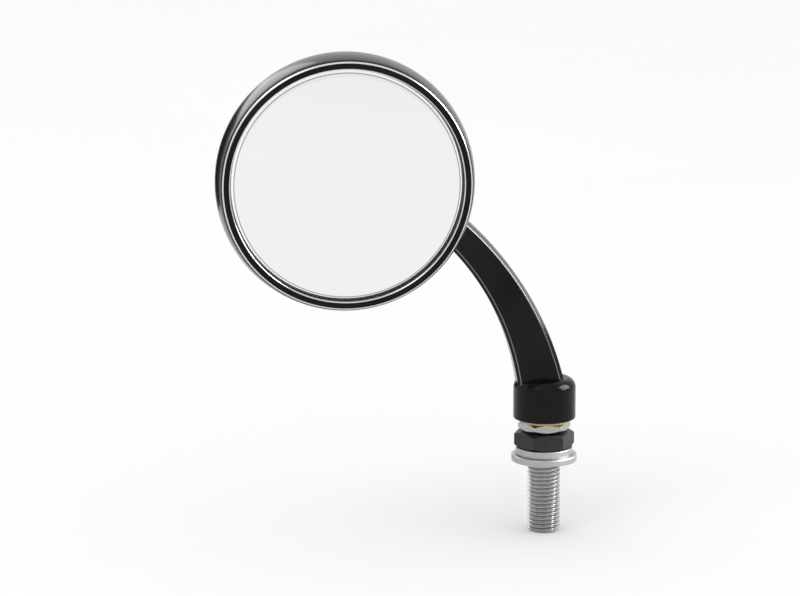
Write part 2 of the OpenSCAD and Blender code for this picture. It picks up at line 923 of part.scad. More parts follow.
module foot_set_screw() {
    length = grub_end_y - grub_tip_y;
    tip_r = grub_r * 0.6;
    color([0.1, 0.1, 0.11])
    translate([0, grub_tip_y, groove_z])
        rotate([-90, 0, 0])
            difference() {
                rotate_extrude()
                    polygon([
                        [0, 0], [tip_r, 0], [grub_r, grub_r - tip_r],
                        [grub_r, length - edge], [grub_r - edge, length], [0, length]
                    ]);
                translate([0, 0, length])
                    key_socket(grub_d / 2, length / 2);
            }
}

module mounting_stud() {
    chamfer = stud_pitch * 0.8;
    color([0.6, 0.61, 0.63]) {
        difference() {
            rotate_extrude()
                polygon([
                    [0, -thread_len], [stud_r - chamfer, -thread_len],
                    [stud_r, chamfer - thread_len], [stud_r, 0], [pitch_r, 0],
                    [pitch_r, collar_z + edge], [spigot_r, collar_z + edge],
                    [spigot_r, groove_z - groove_w / 2], [groove_r, groove_z - groove_w / 2],
                    [groove_r, groove_z + groove_w / 2], [spigot_r, groove_z + groove_w / 2],
                    [spigot_r, spigot_z - edge], [spigot_r - edge, spigot_z], [0, spigot_z]
                ]);
            translate([0, 0, -thread_len])
                rotate([180, 0, 0])
                    key_socket(stud_r, stud_r);
        }
        translate([0, 0, collar_z])
            hexagon(collar_af, collar_t);
    }
}

module seat_washer() {
    color([0.62, 0.63, 0.65])
    ring(seat_washer_d / 2, stud_r + hole_gap, seat_washer_t);
}

module lock_washer() {
    color([0.5, 0.51, 0.53])
    translate([0, 0, lock_washer_z])
        split_ring(
            stud_r + seat_gap + lock_washer_w, stud_r + seat_gap, lock_washer_t
        );
}

module jam_nut() {
    color([0.12, 0.12, 0.13])
    translate([0, 0, jam_nut_z])
        difference() {
            hexagon(jam_nut_af, jam_nut_t);
            translate([0, 0, -cut])
                cylinder(r = pitch_r + close_fit, h = jam_nut_t + 2 * cut);
        }
}

mounting_stud();
seat_washer();
lock_washer();
jam_nut();
mirror_arm();
foot_bush();
foot_set_screw();
ball_stud();
ball_screw();
ball_screw_washer();
rear_ball_liner();
front_ball_liner();
head_shell();
clamp_plate();
clamp_screws();
clamp_springs();
backing_plate();
backing_screws();
glass_pad();
edge_seal();
mirror_glass();
bezel_ring();
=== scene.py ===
"""Looks of the round arch-arm mirror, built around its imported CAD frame.

Sizes are millimetres in the part's own frame and become metres in the meshes. Turned pieces are
profiles of (radius, place along the axis) carried round an axis. The arm's blade is a bevelled
section carried along the arm's arc.
"""

import json
import logging
import math
from dataclasses import dataclass, field
from enum import Enum

import bmesh
import bpy
import numpy as np
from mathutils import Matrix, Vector

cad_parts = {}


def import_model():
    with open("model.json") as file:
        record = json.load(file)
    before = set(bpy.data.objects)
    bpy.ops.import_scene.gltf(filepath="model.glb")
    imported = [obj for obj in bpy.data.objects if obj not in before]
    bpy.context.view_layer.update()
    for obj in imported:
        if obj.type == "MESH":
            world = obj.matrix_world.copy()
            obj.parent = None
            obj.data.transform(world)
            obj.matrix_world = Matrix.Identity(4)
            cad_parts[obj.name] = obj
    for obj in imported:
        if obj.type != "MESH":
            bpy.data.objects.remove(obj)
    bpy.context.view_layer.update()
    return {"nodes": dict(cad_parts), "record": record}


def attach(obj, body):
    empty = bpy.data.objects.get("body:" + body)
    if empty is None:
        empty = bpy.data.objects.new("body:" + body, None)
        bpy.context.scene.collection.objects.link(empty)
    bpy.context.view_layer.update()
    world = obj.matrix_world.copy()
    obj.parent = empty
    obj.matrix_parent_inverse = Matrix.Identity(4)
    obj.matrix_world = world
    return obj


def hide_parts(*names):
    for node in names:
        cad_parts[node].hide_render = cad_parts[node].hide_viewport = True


LOG = logging.getLogger("mirror")
MM = 0.001
SMOOTH_ANGLE = math.radians(32)
WELD_MM = 0.0005

# Directions in the part's frame, the middle of a noise's range, and depths inside a finish in metres.
RIGHT, BACK, UP = (1.0, 0.0, 0.0), (0.0, 1.0, 0.0), (0.0, 0.0, 1.0)
NOISE_LOW, NOISE_HIGH = 0.3, 0.7
SUBSURFACE_REACH = 0.002
BUMP_REACH = 0.0004


# Places and profiles


@dataclass(frozen=True)
class Axis:
    """Line that a section is turned about: a point on it, its direction and the direction of angle 0."""

    origin: tuple[float, float, float]
    along: tuple[float, float, float]
    start: tuple[float, float, float]

    def carry(self, radius: np.ndarray, along: np.ndarray, angle: np.ndarray) -> np.ndarray:
        """Takes cylindrical places to the part's frame.

        origin + along * axis + radius * (cos(angle) * start + sin(angle) * side), where side is
        the cross product of the axis and the start.

        Args:
            radius: distances from the axis, mm.
            along: places along the axis, mm.
            angle: angles from the start direction, radians.

        Returns:
            Points with a last dimension of three, mm.
        """
        axis, start = np.array(self.along), np.array(self.start)
        side = np.cross(axis, start)
        turned = np.cos(angle)[..., None] * start + np.sin(angle)[..., None] * side
        return np.array(self.origin) + along[..., None] * axis + radius[..., None] * turned


def arc(centre: tuple[float, float], radius: float, first: float, last: float, steps: int) -> np.ndarray:
    """Points on a circle: centre + radius * (cos, sin) of evenly spaced angles.

    Args:
        centre: centre of the circle, mm.
        radius: radius, mm.
        first: first angle, degrees.
        last: last angle, degrees.
        steps: number of chords.

    Returns:
        Array of steps + 1 points.
    """
    angles = np.radians(np.linspace(first, last, steps + 1))
    return np.array(centre) + radius * np.stack([np.cos(angles), np.sin(angles)], -1)


def rounded(
    corners: list[tuple[float, float, float]], closed: bool, steps: int = 5, hold: float = 0.05
) -> np.ndarray:
    """Outline through corners, each one rounded by an arc of its own radius.

    The arc touches both sides at radius / tan(half the corner's angle) from the corner. Where the
    side is long enough, one more point is held just past each end of the arc, so that a flat face
    next to it is shaded flat.

    Args:
        corners: (x, y, radius) of each corner, mm.
        closed: whether the last corner joins the first.
        steps: chords in each arc.
        hold: distance of the held point, mm.

    Returns:
        Array of points.
    """
    rows: list[np.ndarray] = []
    count = len(corners)
    for i, (x, y, radius) in enumerate(corners):
        corner = np.array([x, y])
        if radius == 0 or (not closed and i in (0, count - 1)):
            rows.append(corner[None])
            continue
        before = np.array(corners[i - 1][:2]) - corner
        after = np.array(corners[(i + 1) % count][:2]) - corner
        length_before, length_after = np.linalg.norm(before), np.linalg.norm(after)
        before, after = before / length_before, after / length_after
        half = 0.5 * math.acos(float(np.clip(before @ after, -1, 1)))
        reach = radius / math.tan(half)
        middle = corner + (before + after) / np.linalg.norm(before + after) * radius / math.sin(half)
        spokes = np.stack([corner + before * reach, corner + after * reach]) - middle
        ends = np.degrees(np.arctan2(spokes[:, 1], spokes[:, 0]))
        turn = (ends[1] - ends[0] + 180) % 360 - 180
        if reach + hold < length_before / 2:
            rows.append((corner + before * (reach + hold))[None])
        rows.append(arc(tuple(middle), radius, ends[0], ends[0] + turn, steps))
        if reach + hold < length_after / 2:
            rows.append((corner + after * (reach + hold))[None])
    return np.concatenate(rows)


# Meshes


def grid_faces(rows: int, columns: int, wrap_rows: bool, wrap_columns: bool) -> np.ndarray:
    """Four-sided faces of a grid of points, numbered row by row.

    Args:
        rows: number of rows.
        columns: number of points in a row.
        wrap_rows: whether the last row joins the first.
        wrap_columns: whether the last column joins the first.

    Returns:
        Array of four point numbers for each face.
    """
    row = np.arange(rows if wrap_rows else rows - 1)
    column = np.arange(columns if wrap_columns else columns - 1)
    r, c = np.meshgrid(row, column, indexing="ij")
    r_next, c_next = (r + 1) % rows, (c + 1) % columns
    corners = [r * columns + c, r_next * columns + c, r_next * columns + c_next, r * columns + c_next]
    return np.stack(corners, -1).reshape(-1, 4)


@dataclass
class Skin:
    """Points and faces of a piece before it becomes a mesh."""

    points: np.ndarray
    faces: list[list[int]]

    @classmethod
    def from_grid(cls, points: np.ndarray, wrap_rows: bool, wrap_columns: bool, caps: bool = False) -> "Skin":
        """Makes a skin from a grid of points.

        Args:
            points: array of rows, columns and three, mm.
            wrap_rows: whether the last row joins the first.
            wrap_columns: whether the last column joins the first.
            caps: whether the first and the last row are each closed by one face.

        Returns:
            The skin.
        """
        rows, columns = points.shape[:2]
        faces = grid_faces(rows, columns, wrap_rows, wrap_columns).tolist()
        if caps:
            faces.append(list(range(columns - 1, -1, -1)))
            faces.append(list(range((rows - 1) * columns, rows * columns)))
        return cls(points.reshape(-1, 3), faces)

    def joined(self, *others: "Skin") -> "Skin":
        """Joins this skin with others.

        Args:
            others: the skins to add.

        Returns:
            One skin that holds them all.
        """
        points, faces = [self.points], list(self.faces)
        total = len(self.points)
        for other in others:
            faces += [[total + index for index in face] for face in other.faces]
            points.append(other.points)
            total += len(other.points)
        return Skin(np.concatenate(points), faces)

    def as_object(self, name: str) -> bpy.types.Object:
        """Makes the Blender object: metres, doubles merged, normals outward, smooth but for sharp edges.

        Args:
            name: the object's name.

        Returns:
            The object, linked to the scene.
        """
        mesh = bpy.data.meshes.new(name)
        mesh.from_pydata((self.points * MM).tolist(), [], self.faces)
        work = bmesh.new()
        work.from_mesh(mesh)
        bmesh.ops.remove_doubles(work, verts=work.verts, dist=WELD_MM * MM)
        bmesh.ops.dissolve_degenerate(work, edges=work.edges, dist=WELD_MM * MM)
        bmesh.ops.recalc_face_normals(work, faces=work.faces)
        work.to_mesh(mesh)
        work.free()
        piece = bpy.data.objects.new(name, mesh)
        bpy.context.scene.collection.objects.link(piece)
        shade(piece)
        return piece


def shade(piece: bpy.types.Object) -> None:
    """Shades a piece smooth, with an edge kept sharp where its faces meet past SMOOTH_ANGLE."""
    piece.data.shade_smooth()
    piece.data.set_sharp_from_angle(angle=SMOOTH_ANGLE)


def turned(profile: np.ndarray, axis: Axis, closed: bool, segments: int = 160) -> Skin:
    """Surface of revolution: each profile point goes round the axis at its own radius.

    Args:
        profile: (radius, place along the axis) rows, mm.
        axis: the axis to turn about.
        closed: True for a ring's closed section, False for one that starts and ends on the axis.
        segments: number of steps round the axis.

    Returns:
        The skin.
    """
    angle = np.linspace(0, 2 * math.pi, segments, endpoint=False)
    radius, angle_grid = np.meshgrid(profile[:, 0], angle, indexing="ij")
    along = np.repeat(profile[:, 1:2], segments, axis=1)
    return Skin.from_grid(axis.carry(radius, along, angle_grid), closed, True)


def box_skin(
    low: tuple[float, float, float], high: tuple[float, float, float], axis: Axis, turn: float
) -> Skin:
    """Straight-sided rib: a box in an axis's own frame, turned about that axis.

    Each corner (u, v, along) becomes origin + along * axis + u * start + v * side after the turn.

    Args:
        low: lowest (u, v, along), mm.
        high: highest (u, v, along), mm.
        axis: the axis whose frame is used.
        turn: angle about the axis, degrees.

    Returns:
        The skin.
    """
    u = np.array([[low[0], high[0], high[0], low[0]]] * 2)
    v = np.array([[low[1], low[1], high[1], high[1]]] * 2)
    along = np.array([[low[2]] * 4, [high[2]] * 4])
    points = axis.carry(np.hypot(u, v), along, np.arctan2(v, u) + math.radians(turn))
    return Skin.from_grid(points, False, True, caps=True)


class Carve(Enum):
    """How one solid works on another."""

    ADD = "UNION"
    CUT = "DIFFERENCE"


def carve(target: bpy.types.Object, tool: bpy.types.Object, way: Carve) -> None:
    """Adds a solid to another or cuts it away, and deletes the tool.

    Args:
        target: the piece that is changed.
        tool: the solid that is added or cut away.
        way: which of the two.
    """
    modifier = target.modifiers.new(way.name, "BOOLEAN")
    modifier.operation = way.value
    modifier.solver = "EXACT"
    modifier.object = tool
    depsgraph = bpy.context.evaluated_depsgraph_get()
    result = bpy.data.meshes.new_from_object(target.evaluated_get(depsgraph))
    target.modifiers.clear()
    target.data = result
    bpy.data.objects.remove(tool)


# Finishes


class Grain(Enum):
    """Pattern of the fine relief of a finish."""

    ORANGE_PEEL = "noise"
    PORES = "voronoi"


def link_math(
    tree: bpy.types.NodeTree, operation: str, *values: bpy.types.NodeSocket | float
) -> bpy.types.NodeSocket:
    """Adds a Math node over sockets or numbers and returns its value.

    Args:
        tree: the material's node tree.
        operation: the node's operation.
        values: its inputs, in order.

    Returns:
        The node's output.
    """
    node = tree.nodes.new("ShaderNodeMath")
    node.operation = operation
    for socket, value in zip(node.inputs, values):
        if isinstance(value, bpy.types.NodeSocket):
            tree.links.new(value, socket)
        else:
            socket.default_value = value
    return node.outputs["Value"]


@dataclass(frozen=True)
class Band:
    """Ring-shaped place on a turned piece: a range of radius and a range of depth, in mm."""

    centre: tuple[float, float, float]
    radius: tuple[float, float]
    depth: tuple[float, float] = (-50.0, 50.0)

    def mask(self, tree: bpy.types.NodeTree) -> bpy.types.NodeSocket:
        """Returns 1 on the band and 0 off it.

        The radius is sqrt(x^2 + z^2) and the depth is y, both from the centre. Each is compared
        with the middle of its range, and the two results are multiplied.

        Args:
            tree: the material's node tree.

        Returns:
            The mask's socket.
        """
        source = tree.nodes.new("ShaderNodeTexCoord")
        centring = tree.nodes.new("ShaderNodeMapping")
        centring.inputs["Location"].default_value = [-value * MM for value in self.centre]
        tree.links.new(source.outputs["Object"], centring.inputs["Vector"])
        parts = tree.nodes.new("ShaderNodeSeparateXYZ")
        tree.links.new(centring.outputs["Vector"], parts.inputs["Vector"])
        across, depth, up = (parts.outputs[name] for name in "XYZ")
        across_2, up_2 = (link_math(tree, "MULTIPLY", value, value) for value in (across, up))
        squares = link_math(tree, "ADD", across_2, up_2)
        near = [
            link_math(tree, "COMPARE", value, (low + high) / 2 * MM, (high - low) / 2 * MM)
            for value, (low, high) in ((link_math(tree, "SQRT", squares), self.radius), (depth, self.depth))
        ]
        return link_math(tree, "MULTIPLY", *near)


@dataclass(frozen=True)
class Finish:
    """A procedural finish in Object coordinates.

    The base colour runs between two shades, and the roughness between two values, each along its
    own noise. A finer grain raises the surface. Highlight bands are stripes of bright metal painted
    on edges as the highlights the edges catch; on the lip they are also its polished edge.
    """

    name: str
    dark: tuple[float, float, float]
    light: tuple[float, float, float]
    roughness: tuple[float, float]
    metallic: float = 0.0
    specular: float = 0.5
    sheen: float = 0.0
    subsurface: float = 0.0
    tone_scale: float = 60.0
    wear_scale: float = 140.0
    grain: Grain = Grain.ORANGE_PEEL
    grain_scale: float = 900.0
    grain_height: float = 0.02
    stretch: tuple[float, float, float] = (1.0, 1.0, 1.0)
    # Painted highlights: bands of bright metal on edges, and the colour they are painted in.
    painted_highlight_bands: tuple[Band, ...] = ()
    bright: tuple[float, float, float] = (0.66, 0.66, 0.66)

    def material(self) -> bpy.types.Material:
        """Builds the node tree: colour and roughness along noises, the grain, then the painted highlight
        bands.

        Returns:
            The material.
        """
        made = bpy.data.materials.new(self.name)
        made.use_nodes = True
        tree = made.node_tree
        shader = tree.nodes["Principled BSDF"]
        self.set_constants(shader)
        place = self.place(tree)
        tone = self.noise(tree, place, self.tone_scale, 4.0)
        shades = tree.nodes.new("ShaderNodeValToRGB")
        shades.color_ramp.elements[0].position = NOISE_LOW
        shades.color_ramp.elements[0].color = (*self.dark, 1)
        shades.color_ramp.elements[1].position = NOISE_HIGH
        shades.color_ramp.elements[1].color = (*self.light, 1)
        tree.links.new(tone, shades.inputs["Fac"])
        tree.links.new(shades.outputs["Color"], shader.inputs["Base Color"])
        wear = self.noise(tree, place, self.wear_scale, 6.0)
        tree.links.new(self.between(tree, wear, self.roughness), shader.inputs["Roughness"])
        tree.links.new(self.relief(tree, place), shader.inputs["Normal"])
        for band in self.painted_highlight_bands:
            self.paint_metal_highlight(tree, shader, band.mask(tree))
        return made

    def paint_metal_highlight(
        self, tree: bpy.types.NodeTree, shader: bpy.types.ShaderNode, mask: bpy.types.NodeSocket
    ) -> None:
        """Paints a highlight: the base colour turns bright and metallic where a mask is 1, over what is there
        already.

        Args:
            tree: the material's node tree.
            shader: the Principled shader.
            mask: 1 where the highlight is painted.
        """
        # Bright metal mixed over the base colour paints the highlight.
        colour = tree.nodes.new("ShaderNodeMix")
        colour.data_type = "RGBA"
        tree.links.new(shader.inputs["Base Color"].links[0].from_socket, colour.inputs["A"])
        colour.inputs["B"].default_value = (*self.bright, 1)
        tree.links.new(mask, colour.inputs["Factor"])
        tree.links.new(colour.outputs["Result"], shader.inputs["Base Color"])
        metal = shader.inputs["Metallic"]
        before = metal.links[0].from_socket if metal.is_linked else metal.default_value
        tree.links.new(link_math(tree, "MAXIMUM", mask, before), metal)

    def set_constants(self, shader: bpy.types.ShaderNode) -> None:
        """Sets what is the same all over on the shader's own sockets."""
        values = {
            "Metallic": self.metallic,
            "Specular IOR Level": self.specular,
            "Sheen Weight": self.sheen,
            "Subsurface Weight": self.subsurface,
            "Subsurface Scale": SUBSURFACE_REACH,
        }
        for socket, value in values.items():
            shader.inputs[socket].default_value = value

    def place(self, tree: bpy.types.NodeTree) -> bpy.types.NodeSocket:
        """Adds the Object coordinates, stretched where the finish has a direction.

        Args:
            tree: the material's node tree.

        Returns:
            The coordinates.
        """
        source = tree.nodes.new("ShaderNodeTexCoord")
        mapping = tree.nodes.new("ShaderNodeMapping")
        mapping.inputs["Scale"].default_value = self.stretch
        tree.links.new(source.outputs["Object"], mapping.inputs["Vector"])
        return mapping.outputs["Vector"]

    @staticmethod
    def noise(
        tree: bpy.types.NodeTree, place: bpy.types.NodeSocket, scale: float, detail: float
    ) -> bpy.types.NodeSocket:
        """Adds a noise.

        Args:
            tree: the material's node tree.
            place: the coordinates it runs over.
            scale: its scale.
            detail: its detail.

        Returns:
            Its value.
        """
        node = tree.nodes.new("ShaderNodeTexNoise")
        node.inputs["Scale"].default_value = scale
        node.inputs["Detail"].default_value = detail
        tree.links.new(place, node.inputs["Vector"])
        return node.outputs["Fac"]

    @staticmethod
    def between(
        tree: bpy.types.NodeTree, value: bpy.types.NodeSocket, limits: tuple[float, float]
    ) -> bpy.types.NodeSocket:
        """Maps the middle of a noise's range onto two limits.

        Args:
            tree: the material's node tree.
            value: the noise.
            limits: the two limits.

        Returns:
            The result.
        """
        node = tree.nodes.new("ShaderNodeMapRange")
        node.inputs["From Min"].default_value = NOISE_LOW
        node.inputs["From Max"].default_value = NOISE_HIGH
        node.inputs["To Min"].default_value = limits[0]
        node.inputs["To Max"].default_value = limits[1]
        tree.links.new(value, node.inputs["Value"])
        return node.outputs["Result"]

    def relief(self, tree: bpy.types.NodeTree, place: bpy.types.NodeSocket) -> bpy.types.NodeSocket:
        """Raises the surface by the grain.

        Args:
            tree: the material's node tree.
            place: the coordinates it runs over.

        Returns:
            The normal.
        """
        if self.grain is Grain.PORES:
            node = tree.nodes.new("ShaderNodeTexVoronoi")
            node.inputs["Scale"].default_value = self.grain_scale
            tree.links.new(place, node.inputs["Vector"])
            height = node.outputs["Distance"]
        else:
            height = self.noise(tree, place, self.grain_scale, 2.0)
        bump = tree.nodes.new("ShaderNodeBump")
        bump.inputs["Strength"].default_value = self.grain_height
        bump.inputs["Distance"].default_value = BUMP_REACH
        tree.links.new(height, bump.inputs["Height"])
        return bump.outputs["Normal"]


@dataclass(frozen=True)
class SilveredGlass:
    """Silvered glass with a bright ground edge and a fine grey line painted where the grinding starts, a
    painted dark reflection.
    """

    name: str
    centre: tuple[float, float, float]
    ground_r: float
    rim_r: float
    silver: tuple[float, float, float] = (0.86, 0.86, 0.865)
    ground: tuple[float, float, float] = (0.98, 0.98, 0.98)
    # Grey of the painted dark reflection line where the grinding starts.
    line: tuple[float, float, float] = (0.36, 0.36, 0.37)
    line_w: float = 0.34
    polish: float = 0.012
    frost: float = 0.12

    def material(self) -> bpy.types.Material:
        """Builds the node tree: silver, then the ground edge's band, then the painted reflection line's band
        over it.

        Returns:
            The material.
        """
        made = bpy.data.materials.new(self.name)
        made.use_nodes = True
        tree = made.node_tree
        shader = tree.nodes["Principled BSDF"]
        shader.inputs["Metallic"].default_value = 1.0
        edge = Band(self.centre, (self.ground_r, self.rim_r + 1)).mask(tree)
        # Grey line painted where the grinding starts: a painted dark reflection.
        half_w = self.line_w / 2
        line = Band(self.centre, (self.ground_r - half_w, self.ground_r + half_w)).mask(tree)
        source = tree.nodes.new("ShaderNodeTexCoord").outputs["Object"]
        smear = Finish.noise(tree, source, 40.0, 5.0)
        colour = self.mixed(tree, edge, (*self.silver, 1), (*self.ground, 1), "RGBA")
        colour = self.mixed(tree, line, colour, (*self.line, 1), "RGBA")
        tree.links.new(colour, shader.inputs["Base Color"])
        polish = Finish.between(tree, smear, (self.polish, self.polish * 2))
        tree.links.new(self.mixed(tree, edge, polish, self.frost, "FLOAT"), shader.inputs["Roughness"])
        return made

    @staticmethod
    def mixed(
        tree: bpy.types.NodeTree,
        mask: bpy.types.NodeSocket,
        off: bpy.types.NodeSocket | tuple | float,
        on: tuple | float,
        kind: str,
    ) -> bpy.types.NodeSocket:
        """Mixes from one colour or number to another where a mask is 1.

        Args:
            tree: the material's node tree.
            mask: the mask.
            off: what shows where the mask is 0.
            on: what shows where it is 1.
            kind: RGBA for colours or FLOAT for numbers.

        Returns:
            The result.
        """
        node = tree.nodes.new("ShaderNodeMix")
        node.data_type = kind
        socket_type = {"RGBA": "RGBA", "FLOAT": "VALUE"}[kind]
        of_kind = [socket for socket in node.inputs if socket.type == socket_type]
        first, second = [socket for socket in of_kind if socket.name in ("A", "B")]
        if isinstance(off, bpy.types.NodeSocket):
            tree.links.new(off, first)
        else:
            first.default_value = off
        second.default_value = on
        tree.links.new(mask, node.inputs["Factor"])
        return next(socket for socket in node.outputs if socket.enabled)


@dataclass(frozen=True)
class Place:
    """Where a finished piece belongs: its body, the CAD nodes it stands for and its material slot."""

    body: str
    nodes: tuple[str, ...]
    slot: str


def settle(piece: bpy.types.Object, place: Place, paints: "Paints") -> bpy.types.Object:
    """Gives a piece its slot's material and tells the frame where it belongs.

    Args:
        piece: the finished piece.
        place: its body, nodes and slot.
        paints: the mirror's finishes.

    Returns:
        The same piece.
    """
    piece.data.materials.clear()
    piece.data.materials.append(paints[place.slot])
    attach(piece, place.body)
    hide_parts(*place.nodes)
    return piece


# The finishes of this mirror


class Paints:
    """Every finish of the mirror, made once."""

    def __init__(
        self, glass: SilveredGlass, lip_edge_highlights: tuple[Band, ...], blade_edge_highlights: tuple[Band, ...]
    ) -> None:
        """Makes the materials.

        Args:
            glass: the finish of the glass, which knows its own size.
            lip_edge_highlights: the lip ring's polished edges, their highlights painted as bright metal.
            blade_edge_highlights: painted highlights along the blade's bevel edges.
        """
        finishes = [
            Finish("shell_black", (0.005, 0.005, 0.0055), (0.010, 0.010, 0.011), (0.15, 0.22), specular=0.5,
                   grain_height=0.05),
            # arm_black: highlight lines painted in bright metal along the blade's bevel edges.
            Finish("arm_black", (0.001, 0.001, 0.0013), (0.013, 0.013, 0.0135), (0.10, 0.2), specular=0.12,
                   grain_height=0.06, tone_scale=24, wear_scale=45, painted_highlight_bands=blade_edge_highlights,
                   bright=(0.16, 0.16, 0.165)),
            # lip_black: highlights painted as bright metal on the lip's polished edges.
            Finish("lip_black", (0.002, 0.002, 0.0025), (0.006, 0.006, 0.0065), (0.12, 0.2), specular=0.12,
                   grain_height=0.04, painted_highlight_bands=lip_edge_highlights),
            Finish("stud_steel", (0.36, 0.36, 0.37), (0.46, 0.46, 0.46), (0.26, 0.34), metallic=1,
                   grain_height=0.03, grain_scale=700),
            Finish("washer_steel", (0.34, 0.345, 0.35), (0.46, 0.46, 0.47), (0.28, 0.42), metallic=1,
                   grain_height=0.12, grain_scale=500),
            Finish("black_steel", (0.014, 0.014, 0.015), (0.03, 0.03, 0.032), (0.34, 0.5), metallic=0.55,
                   grain_height=0.15, grain_scale=800),
            Finish("ball_steel", (0.55, 0.55, 0.56), (0.66, 0.66, 0.67), (0.12, 0.22), metallic=1,
                   grain_height=0.05, grain_scale=600, stretch=(1, 6, 1)),
            Finish("bush_bronze", (0.42, 0.27, 0.11), (0.58, 0.40, 0.19), (0.36, 0.52), metallic=1,
                   grain=Grain.PORES, grain_scale=1400, grain_height=0.3),
            Finish("liner_nylon", (0.70, 0.69, 0.63), (0.80, 0.79, 0.73), (0.42, 0.55), subsurface=0.1,
                   grain_height=0.08),
            Finish("backing_plastic", (0.045, 0.045, 0.048), (0.06, 0.06, 0.064), (0.5, 0.62),
                   grain_height=0.25, grain_scale=1600),
            Finish("foam_grey", (0.08, 0.08, 0.082), (0.13, 0.13, 0.134), (0.88, 0.97), sheen=0.1,
                   grain=Grain.PORES, grain_scale=1500, grain_height=0.6),
            Finish("clamp_steel", (0.36, 0.37, 0.38), (0.5, 0.5, 0.51), (0.3, 0.45), metallic=1,
                   grain_height=0.2, grain_scale=420),
        ]
        self.by_slot = {finish.name: finish.material() for finish in finishes}
        self.by_slot["glass_mirror"] = glass.material()

    def __getitem__(self, slot: str) -> bpy.types.Material:
        """Returns the material of a slot."""
        return self.by_slot[slot]


# The head


